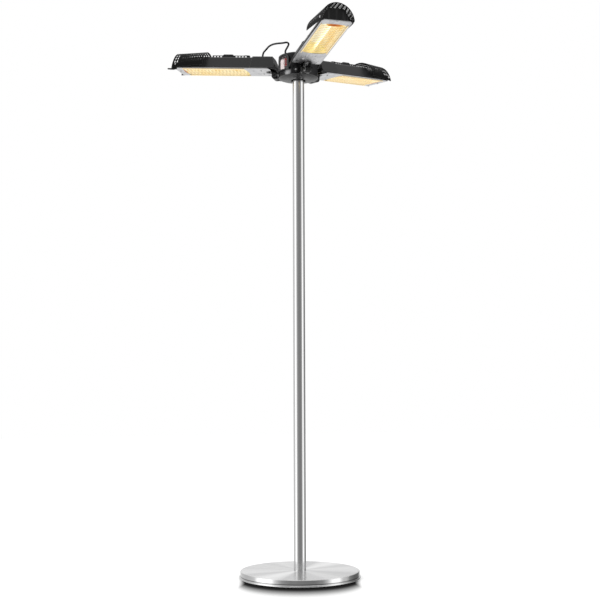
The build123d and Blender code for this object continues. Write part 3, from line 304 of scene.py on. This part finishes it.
class Finish(Tree):
    """Material with one main shader; constants go straight onto its sockets."""

    def __init__(self, name, **sockets):
        self.material = bpy.data.materials.new(name)
        self.material.use_nodes = True
        super().__init__(self.material.node_tree)
        self.shader = self.node("ShaderNodeBsdfPrincipled")
        self.link(self.shader.outputs[0], self.node("ShaderNodeOutputMaterial").inputs[0])
        self.place = self.node("ShaderNodeTexCoord").outputs["Object"]
        for key, value in sockets.items():
            self.feed(self.shader.inputs[key.replace("_", " ")], value)

    def drive(self, name, value):
        self.link(value, self.shader.inputs[name])

    def arm_place(self, arm):
        """Position in the frame of an arm."""
        return self.mapped(self.place, matrix=arm_matrix(arm).inverted())

    def stretched(self, vector, scale, detail=2.0, roughness=0.5):
        """Noise with its own scale along each axis."""
        return self.noise(self.mapped(vector, scale), 1.0, detail, roughness)

    def spread(self, noise, low, high):
        """The middle of a noise's range, mapped to the range given."""
        return self.span(noise, 0.3, 0.7, low, high)

    def radius(self, x, y):
        """Distance from the pole's axis."""
        squares = (self.math("MULTIPLY", axis, axis) for axis in (x, y))
        return self.math("SQRT", self.math("ADD", *squares))

    def glow(self, level, mirrored):
        """Strength of glowing surface, lower in what mirrors show of it."""
        mirror = self.node("ShaderNodeLightPath").outputs["Is Glossy Ray"]
        return self.span(mirror, 0, 1, level, mirrored)

    def bump(self, value, strength, distance):
        made = self.node("ShaderNodeBump")
        made.inputs["Strength"].default_value = strength
        made.inputs["Distance"].default_value = distance
        self.link(value, made.inputs["Height"])
        self.drive("Normal", made.outputs[0])

    def edge_highlight(self, radius):
        """Share of painted highlight: one along sharp edges, none on flat surface."""
        rounded = self.node("ShaderNodeBevel", samples=6)
        rounded.inputs["Radius"].default_value = radius
        made = self.node("ShaderNodeVectorMath", operation="DOT_PRODUCT")
        self.link(rounded.outputs[0], made.inputs[0])
        self.link(self.node("ShaderNodeNewGeometry").outputs["Normal"], made.inputs[1])
        return self.span(made.outputs["Value"], 0.97, 0.8)

    def painted_highlight_spot(self, colour, spot, radius, painted_light):
        """Colour with a painted highlight around one spot."""
        away = self.node("ShaderNodeVectorMath", operation="DISTANCE")
        self.link(self.place, away.inputs[0])
        away.inputs[1].default_value = spot
        wander = self.spread(self.noise(self.place, 90.0), -0.003, 0.003)
        ragged = self.math("ADD", away.outputs["Value"], wander)
        return self.mix(self.span(ragged, radius, 0.15 * radius), colour, painted_light)


# Spots on the hub with a painted highlight
LEFT_EAR = (-0.0724, 0.021, 1.8883)
UNDER_SWITCH = (-0.0565, -0.0495, 1.8845)


def powder(name, dark, light, roughness, grain=1400.0, depth=0.12, specular=0.5, painted_highlight_spot=None):
    """Powder coat: fine orange peel, a slight change of tone, painted highlights along sharp edges, perhaps a
    painted highlight spot.
    """
    made = Finish(name, Specular_IOR_Level=specular)
    coat = made.mix(made.noise(made.place, 9.0, 3.0), dark, light)
    # Painted highlight on one spot, if one is given
    if painted_highlight_spot:
        coat = made.painted_highlight_spot(coat, painted_highlight_spot, 0.017, (0.4, 0.4, 0.405))
    # Painted highlight along sharp edges
    made.drive("Base Color", made.mix(made.edge_highlight(0.0012), coat, (0.05, 0.05, 0.05)))
    fine = made.noise(made.place, grain)
    made.drive("Roughness", made.spread(fine, roughness - 0.06, roughness + 0.06))
    made.bump(fine, depth, 0.0004)
    return made.material


def brushed(name, colour, roughness, stretch, spread=0.08, **sockets):
    """Bright metal with fine lines along one direction."""
    made = Finish(name, Metallic=1.0, **sockets)
    fine = made.stretched(made.place, stretch, 3.0, 0.6)
    low = tuple(0.9 * c for c in colour)
    high = tuple(min(1.0, 1.05 * c) for c in colour)
    made.drive("Base Color", made.mix(fine, low, high))
    made.drive("Roughness", made.spread(fine, roughness - spread / 2, roughness + spread / 2))
    made.bump(fine, 0.05, 0.0002)
    return made


def plastic(name, colour, roughness, grain=900.0, depth=0.1, specular=0.4):
    """Moulded plastic or rubber with a fine grain."""
    made = Finish(name, Specular_IOR_Level=specular)
    tone = made.noise(made.place, 40.0)
    low, high = (tuple(share * c for c in colour) for share in (0.8, 1.2))
    made.drive("Base Color", made.mix(tone, low, high))
    fine = made.noise(made.place, grain)
    made.drive("Roughness", made.spread(fine, roughness - 0.05, roughness + 0.05))
    made.bump(fine, depth, 0.0003)
    return made.material


def base_steel():
    """Spun cover: rings of fine lines, the fan of light they break it into painted as highlight, and painted
    shade in the crease.
    """
    made = Finish("base_steel", Metallic=1.0, Anisotropic=0.9, Anisotropic_Rotation=0.25)
    x, y, z = made.split(made.place)
    around = made.math("ARCTAN2", y, x)
    rings = made.math("MULTIPLY", made.radius(x, y), 2600.0)
    ring = made.noise(made.join(rings, 0, 0), 1.0)
    circle = made.join(made.math("SINE", around), made.math("COSINE", around), 0)
    # Painted highlight: lighter and darker sectors around the pole
    painted_fan = made.noise(circle, 1.7, 2.5, 0.55)
    bright = made.mix(made.span(painted_fan, 0.36, 0.64), (0.64, 0.64, 0.645), (0.82, 0.82, 0.82))
    # Painted highlight: brightest along one axis through the pole
    highlight_azimuth = math.radians(218)
    painted_highlight_lobe = made.math("COSINE", made.math("MULTIPLY", made.math("SUBTRACT", around, highlight_azimuth), 2.0))
    bright = made.mix(made.span(painted_highlight_lobe, 0.8, 1.0), bright, (0.93, 0.93, 0.93))
    # Painted shade: a dark band in the crease above the lip
    painted_crease_shade = made.math("MULTIPLY", made.span(z, 0.0095, 0.0105), made.span(z, 0.0135, 0.0115))
    made.drive("Base Color", made.mix(painted_crease_shade, bright, (0.16, 0.16, 0.16)))
    rougher_top = made.math("MULTIPLY", made.span(z, 0.0255, 0.0275), 0.12)
    made.drive("Roughness", made.math("ADD", rougher_top, made.spread(ring, 0.12, 0.2)))
    made.bump(ring, 0.04, 0.0002)
    made.drive("Tangent", made.node("ShaderNodeTangent", direction_type="RADIAL", axis="Z").outputs[0])
    return made.material


def hub_bowl():
    """Cast bowl: black around the hinges; painted reflection makes it grey where it turns down to the pole.
    """
    made = Finish("hub_grey", Specular_IOR_Level=0.5)
    x, y, _ = made.split(made.place)
    wander = made.spread(made.noise(made.place, 60.0, 3.0), -0.004, 0.004)
    outwards = made.span(made.math("ADD", made.radius(x, y), wander), 0.026, 0.086)
    # Painted reflection: grey near the pole, black further out
    colour = made.ramp(outwards, [(0.0, 0.008), (0.06, 0.07), (0.4, 0.034), (0.75, 0.012), (0.9, 0.005)])
    # Painted reflection in patches, black between them
    painted_light_mask = made.span(made.noise(made.place, 32.0), 0.5, 0.62)
    colour = made.mix(painted_light_mask, (0.006, 0.006, 0.0064), colour)
    # Painted highlight along sharp edges
    colour = made.mix(made.edge_highlight(0.0012), colour, (0.12, 0.12, 0.12))
    # Painted highlight on one ear
    made.drive("Base Color", made.painted_highlight_spot(colour, LEFT_EAR, 0.009, (0.4, 0.4, 0.4)))
    fine = made.noise(made.place, 1100.0)
    made.drive("Roughness", made.spread(fine, 0.26, 0.38))
    made.bump(fine, 0.12, 0.0004)
    return made.material


def arm_housing(arm):
    """Powder coat on the housing; painted light on the sheet under the hood, seen through its slots, and
    painted shade on the outer end.
    """
    made = Finish("arm_housing_" + arm, Specular_IOR_Level=0.32)
    local = made.arm_place(arm)
    x, _, z = made.split(local)
    coat = made.mix(made.noise(made.place, 9.0, 3.0), (0.009, 0.0092, 0.0096), (0.016, 0.0162, 0.0167))
    streaks = made.stretched(local, (30, 160, 8))
    # Painted light under the hood, so that its slots show light
    painted_light = made.mix(streaks, (0.2, 0.2, 0.2), (0.45, 0.45, 0.45))
    under_hood = made.math("MULTIPLY", made.span(x, 0.285, 0.29), made.span(x, 0.378, 0.374))
    top = made.span(z, 0.05, 0.062)
    colour = made.mix(made.math("MULTIPLY", under_hood, top), coat, painted_light)
    # Painted shade on the outer end wall under the hood
    painted_shade = made.mix(made.span(streaks, 0.55, 0.75), (0.002, 0.002, 0.002), (0.03, 0.03, 0.03))
    colour = made.mix(made.span(x, 0.374, 0.38), colour, painted_shade)
    # Painted highlight along sharp edges
    made.drive("Base Color", made.mix(made.edge_highlight(0.0018), colour, (0.1, 0.1, 0.102)))
    fine = made.noise(made.place, 1400.0)
    made.drive("Roughness", made.spread(fine, 0.38, 0.5))
    made.bump(fine, 0.12, 0.0004)
    return made.material


def arm_frame(arm):
    """Bright streaked sheet; painted shade as a black band under the housing, and painted glow beside the
    window.
    """
    made = Finish("arm_frame_" + arm, Emission_Color=(1.0, 0.74, 0.32))
    local = made.arm_place(arm)
    x, y, z = made.split(local)
    fine = made.stretched(local, (6, 1300, 1300), 3.0, 0.6)
    bright = made.mix(fine, (0.64, 0.64, 0.65), (0.77, 0.77, 0.78))
    blots = made.stretched(local, (26, 70, 70), 3.0, 0.6)
    bright = made.mix(made.span(blots, 0.42, 0.68, 0.0, 0.55), bright, (0.42, 0.42, 0.44))
    streaks = made.span(made.stretched(local, (40, 130, 130)), 0.58, 0.7)
    near_hub = made.math("MULTIPLY", streaks, made.span(x, 0.112, 0.1, 0.0, 0.8))
    bright = made.mix(near_hub, bright, (0.13, 0.13, 0.14))
    # Painted shade: a black band along the top edge, under the housing
    painted_shade_band = made.span(z, 0.0193, 0.0197)
    made.drive("Base Color", made.mix(painted_shade_band, bright, (0.006, 0.006, 0.006)))
    made.drive("Metallic", made.math("SUBTRACT", 1.0, painted_shade_band))
    made.drive("Roughness", made.spread(fine, 0.27, 0.37))
    # Painted light: a warm glow on the sheet beside the window
    outside = made.math("SUBTRACT", made.math("ABSOLUTE", y), WINDOW_HALF)
    off_middle = made.math("ABSOLUTE", made.math("SUBTRACT", x, sum(WINDOW) / 2))
    past_end = made.math("MULTIPLY", made.math("SUBTRACT", off_middle, 0.108), 0.5)
    spill = made.span(made.math("MAXIMUM", outside, past_end), 0.0, 0.006, 1.0, 0.0)
    made.drive("Emission Strength", made.math("MULTIPLY", spill, made.glow(0.42, 0.0)))
    made.bump(fine, 0.05, 0.0002)
    return made.material


# Pattern of painted glow, for the guard wires mirrored in the trough: pitch along the arm and across it
GLOW_PATTERN_PITCH = (0.0145, 0.05)


def painted_glow_pattern(made, x, y):
    """Share of the painted glow, brighter and darker by turns, like mirrored guard wires."""
    along, across = (
        made.math("SINE", made.math("MULTIPLY", axis, 2 * math.pi / pitch))
        for axis, pitch in zip((x, y), GLOW_PATTERN_PITCH))
    return made.span(made.math("MULTIPLY", along, across), -0.6, 0.6, 0.84, 1.1)


def reflector(arm):
    """Trough with the lamp's light on it painted as glow: white-hot behind the lamp, amber patches beside it,
    deep yellow at the inner end.
    """
    made = Finish("reflector_" + arm, Metallic=1.0, Roughness=0.25, Base_Color=(0.42, 0.36, 0.24))
    local = made.arm_place(arm)
    x, y, _ = made.split(local)
    wander = made.span(made.stretched(local, (13, 42, 42)), 0.32, 0.68, -0.26, 0.26)
    across = made.math("ADD", made.span(made.math("ABSOLUTE", y), 0, TROUGH_HALF), wander)
    # Painted light: colour of the glow across the trough
    colour = made.ramp(across, [
        (0.0, (1.0, 0.98, 0.78)), (0.28, (1.0, 0.95, 0.64)), (0.5, (1.0, 0.74, 0.3)),
        (0.68, (0.95, 0.6, 0.16)), (0.84, (1.0, 0.76, 0.36)), (1.0, (1.0, 0.84, 0.5)),
    ], "EASE")
    inner = made.span(x, TROUGH[0] + 0.024, TROUGH[0] + 0.006)
    made.drive("Emission Color", made.mix(inner, colour, (1.0, 0.78, 0.24)))
    made.drive("Emission Strength", made.math("MULTIPLY", made.glow(0.84, 0.05), painted_glow_pattern(made, x, y)))
    made.bump(made.stretched(local, (60, 220, 220)), 0.2, 0.001)
    return made.material


# Lamp tube: its coil in radians per metre, and the distance from its axis where it looks orange
COIL_TURNS = 2200.0
LAMP_SIDE = 0.006


def lamp_glow(arm):
    """Quartz tube with a white-hot coil in it; its two caps are ceramic and stay dark."""
    made = Finish("lamp_glow_" + arm, Roughness=0.1, Base_Color=(1.0, 0.9, 0.7))
    x, y, _ = made.split(made.arm_place(arm))
    turns = made.math("SINE", made.math("MULTIPLY", x, COIL_TURNS))
    hot = made.mix(made.span(turns, -1, 1), (1.0, 0.86, 0.52), (1.0, 0.95, 0.78))
    beside = made.math("ABSOLUTE", y)
    hot = made.mix(made.span(beside, 0.4 * LAMP_SIDE, LAMP_SIDE), hot, (1.0, 0.8, 0.4))
    off_middle = made.math("ABSOLUTE", made.math("SUBTRACT", x, sum(TROUGH) / 2))
    near_cap = made.span(off_middle, 0.085, 0.118)
    made.drive("Emission Color", made.mix(near_cap, hot, (1.0, 0.36, 0.06)))
    half = (TROUGH[1] - TROUGH[0]) / 2
    lit = made.span(off_middle, half - 0.001, half + 0.001, 1.0, 0.0)
    made.drive("Emission Strength", made.math("MULTIPLY", lit, made.glow(1.1, 0.05)))
    return made.material


def guard_wire(arm):
    """Bright wire in front of the window, with the light of the trough behind it painted on as glow."""
    made = brushed(
        "guard_wire_" + arm, (0.86, 0.8, 0.66), 0.26, (400, 400, 400), Emission_Color=(1.0, 0.7, 0.26))
    x, y, _ = made.split(made.arm_place(arm))
    # Painted light: glow from the trough, with the mirrored wire pattern
    made.drive("Emission Strength", made.math("MULTIPLY", made.glow(0.5, 0.05), painted_glow_pattern(made, x, y)))
    return made.material


def cast_bracket():
    """Black casting with grey upright streaks painted as highlights."""
    made = Finish("cast_bracket", Specular_IOR_Level=0.5)
    # Painted highlight: grey upright streaks
    painted_light_mask = made.span(made.stretched(made.place, (150, 150, 14)), 0.56, 0.66)
    made.drive("Base Color", made.mix(painted_light_mask, (0.008, 0.008, 0.0085), (0.2, 0.2, 0.2)))
    fine = made.noise(made.place, 900.0)
    made.drive("Roughness", made.spread(fine, 0.2, 0.34))
    made.bump(fine, 0.15, 0.0004)
    return made.material


# Switch: the direction across its cover, and the cover's top
SWITCH_AZIMUTH = math.radians(210)
SWITCH_SIDE = (-math.sin(SWITCH_AZIMUTH), math.cos(SWITCH_AZIMUTH), 0)
SWITCH_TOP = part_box("switch_cover")[1][2]


def clear_cover():
    """Clear cover over the rocker, with a soft box's milky streak on its left half painted as reflection."""
    made = Finish("clear_cover", Roughness=0.1, Coat_Weight=0.5, Coat_Roughness=0.05)
    sideways = made.dot(made.place, SWITCH_SIDE)
    z = made.split(made.place)[2]
    tone = made.noise(made.place, 120.0)
    wander = made.math("ADD", sideways, made.spread(tone, -0.003, 0.003))
    below_top = made.span(z, SWITCH_TOP - 0.011, SWITCH_TOP - 0.018)
    # Painted reflection: a milky streak on the left half
    painted_reflection = made.math("MULTIPLY", made.span(wander, 0.008, -0.002), below_top)
    made.drive("Base Color", made.mix(painted_reflection, (0.1, 0.08, 0.08), (0.9, 0.78, 0.77)))
    made.drive("Alpha", made.span(painted_reflection, 0, 1, 0.16, 0.68))
    made.bump(tone, 0.15, 0.001)
    return made.material


finishes = {
    "base_steel": base_steel(),
    "pole_steel": brushed("pole_steel", (0.8, 0.8, 0.8), 0.14, (900, 900, 3), spread=0.06).material,
    "zinc_steel": brushed("zinc_steel", (0.62, 0.62, 0.58), 0.36, (300, 300, 300)).material,
    "ballast": powder("ballast", (0.05, 0.05, 0.05), (0.09, 0.088, 0.085), 0.7, 300, 0.4),
    "rubber": plastic("rubber", (0.012, 0.012, 0.012), 0.7, 700, 0.2),
    "hub_grey": hub_bowl(),
    # Black hub with a painted highlight spot under the switch
    "hub_black": powder(
        "hub_black", (0.005, 0.005, 0.006), (0.009, 0.009, 0.01), 0.38, specular=0.3, painted_highlight_spot=UNDER_SWITCH),
    "black_plastic": plastic("black_plastic", (0.008, 0.008, 0.0085), 0.26, specular=0.5),
    "white_plastic": plastic("white_plastic", (0.66, 0.66, 0.63), 0.5),
    "rocker_red": plastic("rocker_red", (0.42, 0.012, 0.012), 0.2, 400, 0.02, 0.6),
    "clear_cover": clear_cover(),
    "dark_bolt": powder("dark_bolt", (0.012, 0.012, 0.013), (0.03, 0.03, 0.031), 0.32, 600),
    "bright_bolt": brushed("bright_bolt", (0.82, 0.82, 0.82), 0.3, (500, 500, 500)).material,
    "cast_bracket": cast_bracket(),
    "hood_black": powder(
        "hood_black", (0.0022, 0.0022, 0.0024), (0.005, 0.005, 0.0053), 0.5, specular=0.08),
    "lamp_ceramic": plastic("lamp_ceramic", (0.72, 0.68, 0.6), 0.7, 500, 0.2),
    "lead_rubber": plastic("lead_rubber", (0.013, 0.013, 0.014), 0.42, 1600, 0.06, 0.45),
}
by_arm = {
    "arm_frame": arm_frame, "arm_housing": arm_housing, "reflector": reflector, "lamp_glow": lamp_glow,
    "guard_wire": guard_wire,
}
for entry in frame["record"]["subparts"]:
    node, slot = entry["node"], entry["material_slot"]
    if slot in by_arm:
        arm = node.split("_")[0]
        finish = bpy.data.materials.get(slot + "_" + arm) or by_arm[slot](arm)
    else:
        finish = finishes[slot]
    mesh = nodes[node].data
    mesh.materials.clear()
    mesh.materials.append(finish)


def add_piece(made, name, material, smooth=False):
    """Object of the scene from a bmesh."""
    mesh = bpy.data.meshes.new(name)
    made.to_mesh(mesh)
    made.free()
    if smooth:
        mesh.polygons.foreach_set("use_smooth", [True] * len(mesh.polygons))
    mesh.materials.append(material)
    piece = bpy.data.objects.new(name, mesh)
    scene.collection.objects.link(piece)
    return piece


# Leads from the hub to the arms, in millimetres: distance from the pole, sideways and height
CAP_TOP = 1959.0
LEAD_DIAMETER = 7.0
LEAD_SIDES = 20
LEAD_START = [(50, 0, 1944.0), (50, 0, 1977.0)]
LEAD_LOOP = [
    (51, 1.5, 28), (38, 5, 45.5), (33, 13.5, 52.5), (39.5, 23, 55),
    (54, 22, 53), (88, 15, 55.5), (113, 7, 51), (130, 0.5, 35.5),
]
BOX_GLAND = (60.0, 72.4)
GLAND_RISE = 5
GLAND_SINK = 8


def lead_points(arm):
    """Points of a lead: up out of the hub, folded back, and down into the box of its arm."""
    azimuth, tilt = ARMS[arm]
    spin, lean = math.radians(azimuth), math.radians(tilt)

    def over_box(height):
        reach = BOX_GLAND[0]
        return (
            1000 * HINGE_RADIUS + reach * math.cos(lean) - height * math.sin(lean), 0,
            1000 * HINGE_HEIGHT + reach * math.sin(lean) + height * math.cos(lean),
        )

    route = LEAD_START + [(radius, side, CAP_TOP + rise) for radius, side, rise in LEAD_LOOP]
    route += [over_box(BOX_GLAND[1] + GLAND_RISE + 2 * LEAD_DIAMETER), over_box(BOX_GLAND[1] - GLAND_SINK)]
    return [
        Vector((
            radius * math.cos(spin) - side * math.sin(spin),
            radius * math.sin(spin) + side * math.cos(spin), height)) / 1000
        for radius, side, height in route
    ]


def smooth_line(name, points):
    """Points along the smooth curve that a few points control."""
    curve = bpy.data.curves.new(name, "CURVE")
    curve.dimensions = "3D"
    curve.resolution_u = 12
    spline = curve.splines.new("NURBS")
    spline.points.add(len(points) - 1)
    for target, point in zip(spline.points, points):
        target.co = (*point, 1)
    spline.order_u = 3
    spline.use_endpoint_u = True
    line = bpy.data.objects.new(name, curve)
    scene.collection.objects.link(line)
    bpy.context.view_layer.update()
    flat = bpy.data.meshes.new_from_object(line.evaluated_get(bpy.context.evaluated_depsgraph_get()))
    centre = [vertex.co.copy() for vertex in flat.vertices]
    bpy.data.objects.remove(line)
    bpy.data.meshes.remove(flat)
    return centre


def tube(centre, normal):
    """Closed tube along a line, with its rings kept from twisting."""
    made = bmesh.new()
    rings = []
    for index, point in enumerate(centre):
        following = centre[min(index + 1, len(centre) - 1)]
        previous = centre[max(index - 1, 0)]
        tangent = (following - previous).normalized()
        normal = (normal - tangent * normal.dot(tangent)).normalized()
        other = tangent.cross(normal)
        ring = []
        for step in range(LEAD_SIDES):
            angle = 2 * math.pi * step / LEAD_SIDES
            offset = normal * math.cos(angle) + other * math.sin(angle)
            ring.append(made.verts.new(point + offset * LEAD_DIAMETER / 2000))
        rings.append(ring)
    for first, second in zip(rings, rings[1:]):
        for step in range(LEAD_SIDES):
            after = (step + 1) % LEAD_SIDES
            made.faces.new((first[step], first[after], second[after], second[step]))
    made.faces.new(list(reversed(rings[0])))
    made.faces.new(rings[-1])
    return made


for arm, (azimuth, _) in ARMS.items():
    spin = math.radians(azimuth)
    centre = smooth_line(arm + "_lead_line", lead_points(arm))
    made = tube(centre, Vector((-math.sin(spin), math.cos(spin), 0)))
    piece = add_piece(made, arm + "_lead_sheath", finishes["lead_rubber"], smooth=True)
    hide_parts(arm + "_lead")
    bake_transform(piece)

# Lips at the outer ends of the windows, in metres
LIP_HALF = 0.031
LIP_DEPTH = {"front": 0.02, "right": 0.007, "left": 0.004}
LIP_HEIGHTS = (0.0169, 0.0176)
LIP_OVERLAP = 0.0003
LIP_LEAST = 0.0006
LIP_STEPS = 24


def window_lip(arm):
    """Sheet lip at the outer end of a window, with the dark orange light from the end of the lamp painted on
    as glow.
    """
    made = Finish(
        "window_lip_" + arm, Metallic=1.0, Roughness=0.35, Base_Color=(0.06, 0.03, 0.01),
        Emission_Strength=0.8)
    local = made.arm_place(arm)
    y = made.split(local)[1]
    wander = made.spread(made.stretched(local, (60, 60, 60)), -0.004, 0.004)
    off = made.math("ADD", made.math("ABSOLUTE", y), wander)
    # Painted light: dark orange glow, lighter at the sides
    made.drive("Emission Color", made.ramp(made.span(off, 0.0, LIP_HALF), [
        (0.0, (0.5, 0.1, 0.008)), (0.55, (0.66, 0.2, 0.02)), (1.0, (1.0, 0.62, 0.16)),
    ]))
    return made.material


def lip_mesh(depth):
    """Flat lip that follows the bowed end of the window and bulges inwards."""
    made = bmesh.new()
    low, high = LIP_HEIGHTS
    rings = []
    for step in range(LIP_STEPS + 1):
        side = LIP_HALF * (step / (LIP_STEPS / 2) - 1)
        end = WINDOW[1] + WINDOW_BOW * (1 - (side / WINDOW_HALF) ** 2) + LIP_OVERLAP
        start = end - LIP_LEAST - depth * math.sqrt(max(0.0, 1 - (side / LIP_HALF) ** 2))
        section = [(end, low), (start, low), (start, high), (end, high)]
        rings.append([made.verts.new((reach, side, height)) for reach, height in section])
    for first, second in zip(rings, rings[1:]):
        for corner in range(4):
            after = (corner + 1) % 4
            made.faces.new([first[corner], first[after], second[after], second[corner]])
    made.faces.new(rings[0])
    made.faces.new(list(reversed(rings[-1])))
    bmesh.ops.recalc_face_normals(made, faces=made.faces[:])
    return made


for arm in ARMS:
    made = lip_mesh(LIP_DEPTH[arm])
    made.transform(arm_matrix(arm))
    piece = add_piece(made, arm + "_window_lip", window_lip(arm))
    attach(piece, "arm_" + arm)

# Hoods, in millimetres: thin sheet with rows of slots. Pairs are the hub's side and the outer side.
HOOD_REACH = (275.0, 406.0)
HOOD_LEAN = (2.0, -7.0)
HOOD_HALF = (75.0, 58.5)
HOOD_FOOT = (27.4, 16.4)
HOOD_CROWN = (90.4, 83.4)
HOOD_SHEET = 1.0
SHARP_ANGLE = math.radians(32)
# Slots: width and margin in millimetres; fan, half arc and corner in degrees around the arch
SLOT_COLUMNS = 12
SLOT_ROWS = 12
SLOT_MARGIN = 10.0
SLOT_WIDTH = 4.3
SLOT_FAN = 70.0
SLOT_ARC = 4.2
SLOT_CORNER = 1.4
# Lower edge cut back on one side, in degrees: most at the hub's side, none past a share of the length
HOOD_TRIM = {"front": 13.0}
TRIM_EDGE = 50.0
TRIM_SHARE = 0.8


def between(pair, share):
    """Value at a share of the way from the first of a pair to the second."""
    return pair[0] + share * (pair[1] - pair[0])


def hood_point(share, angle):
    """Point of the arch: share of the way outwards, angle from the crown in degrees."""
    lean = math.cos(math.radians(angle))
    start = HOOD_REACH[0] + HOOD_LEAN[0] * lean
    end = HOOD_REACH[1] + HOOD_LEAN[1] * lean
    reach = start + share * (end - start)
    spot = (reach - HOOD_REACH[0]) / (HOOD_REACH[1] - HOOD_REACH[0])
    foot, crown, half = (between(pair, spot) for pair in (HOOD_FOOT, HOOD_CROWN, HOOD_HALF))
    return Vector((reach, half * math.sin(math.radians(angle)), foot + (crown - foot) * lean)) / 1000


def hood_lines():
    """Lines of the sheet's grid, as shares along it and angles around it, each with a mark.

    A slot starts at "in", goes on at "mid" and ends at "out".
    """
    along = [(0.0, None)]
    length = HOOD_REACH[1] - HOOD_REACH[0]
    half = SLOT_WIDTH / 2 / length
    for column in range(SLOT_COLUMNS):
        middle = (SLOT_MARGIN + column * (length - 2 * SLOT_MARGIN) / (SLOT_COLUMNS - 1)) / length
        along += [(middle - half, "in"), (middle - half / 3, "mid")]
        along += [(middle + half / 3, "mid"), (middle + half, "out")]
    along.append((1.0, None))
    around = [(-90.0, None)]
    for row in range(SLOT_ROWS):
        middle = SLOT_FAN * (2 * row / (SLOT_ROWS - 1) - 1)
        last = around[-1][0]
        gap = middle - SLOT_ARC - last
        around += [(last + gap * step / 3, None) for step in (1, 2)]
        around += [(middle - SLOT_ARC, "in"), (middle - SLOT_ARC + SLOT_CORNER, "mid")]
        around += [(middle + SLOT_ARC * step / 4, "mid") for step in (-2, 0, 2)]
        around += [(middle + SLOT_ARC - SLOT_CORNER, "mid"), (middle + SLOT_ARC, "out")]
    last = around[-1][0]
    around += [(last + (90.0 - last) * step / 3, None) for step in (1, 2, 3)]
    return along, around


def in_slot(mark, following):
    """Whether the strip between two lines of the grid lies in a slot."""
    return mark in ("in", "mid") and following in ("mid", "out")


def hood_mesh(arm):
    """Sheet of a hood: a grid with its slots left open, and a triangle in each corner of a slot."""
    along, around = hood_lines()
    trim = HOOD_TRIM.get(arm, 0.0)
    made = bmesh.new()
    grid = []
    for share, _ in along:
        cut = trim * max(0.0, 1 - share / TRIM_SHARE)
        line = []
        for angle, _ in around:
            if angle > TRIM_EDGE:
                angle = TRIM_EDGE + (angle - TRIM_EDGE) * (90 - TRIM_EDGE - cut) / (90 - TRIM_EDGE)
            line.append(made.verts.new(hood_point(share, angle)))
        grid.append(line)
    for i in range(len(along) - 1):
        near, far = along[i][1], along[i + 1][1]
        for j in range(len(around) - 1):
            low, high = around[j][1], around[j + 1][1]
            a, b, c, d = grid[i][j], grid[i][j + 1], grid[i + 1][j + 1], grid[i + 1][j]
            if not (in_slot(near, far) and in_slot(low, high)):
                made.faces.new([a, b, c, d])
            elif near == "in" and low == "in":
                made.faces.new([d, a, b])
            elif near == "in" and high == "out":
                made.faces.new([a, b, c])
            elif far == "out" and high == "out":
                made.faces.new([b, c, d])
            elif far == "out" and low == "in":
                made.faces.new([c, d, a])
    loose = [vert for vert in made.verts if not vert.link_faces]
    bmesh.ops.delete(made, geom=loose, context="VERTS")
    made.normal_update()
    if sum(face.normal.z for face in made.faces) < 0:
        bmesh.ops.reverse_faces(made, faces=made.faces[:])
    bmesh.ops.solidify(made, geom=made.faces[:], thickness=HOOD_SHEET / 1000)
    return made


# Pull tab of one hood, in millimetres: outline along the arm and sideways, with its web up to the hood
TAB_ARM = "left"
TAB_OUTLINE = [
    (384.0, 55.6), (395.3, 55.6), (395.3, 50.0), (406.0, 50.0), (419.6, 54.8), (420.7, 56.0),
    (421.0, 57.4), (420.8, 59.6), (419.9, 61.1), (418.4, 61.9), (384.0, 62.0),
]
TAB_HEIGHTS = (9.4, 12.9)
TAB_WEB = [(384.0, 55.6), (404.0, 55.6), (404.0, 62.0), (384.0, 62.0)]
TAB_WEB_TOP = 20.0


def prism(made, outline, low, high):
    """Closed prism over an outline, in millimetres."""
    bottom = [made.verts.new(Vector((x, y, low)) / 1000) for x, y in outline]
    top = [made.verts.new(Vector((x, y, high)) / 1000) for x, y in outline]
    made.faces.new(list(reversed(bottom)))
    made.faces.new(top)
    for index in range(len(outline)):
        after = (index + 1) % len(outline)
        made.faces.new([bottom[index], bottom[after], top[after], top[index]])


for arm in ARMS:
    made = hood_mesh(arm)
    if arm == TAB_ARM:
        prism(made, TAB_OUTLINE, *TAB_HEIGHTS)
        prism(made, TAB_WEB, TAB_HEIGHTS[1], TAB_WEB_TOP)
    made.transform(arm_matrix(arm))
    piece = add_piece(made, arm + "_hood_sheet", finishes["hood_black"], smooth=True)
    piece.data.set_sharp_from_angle(angle=SHARP_ANGLE)
    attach(piece, "arm_" + arm)
    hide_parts(arm + "_hood")
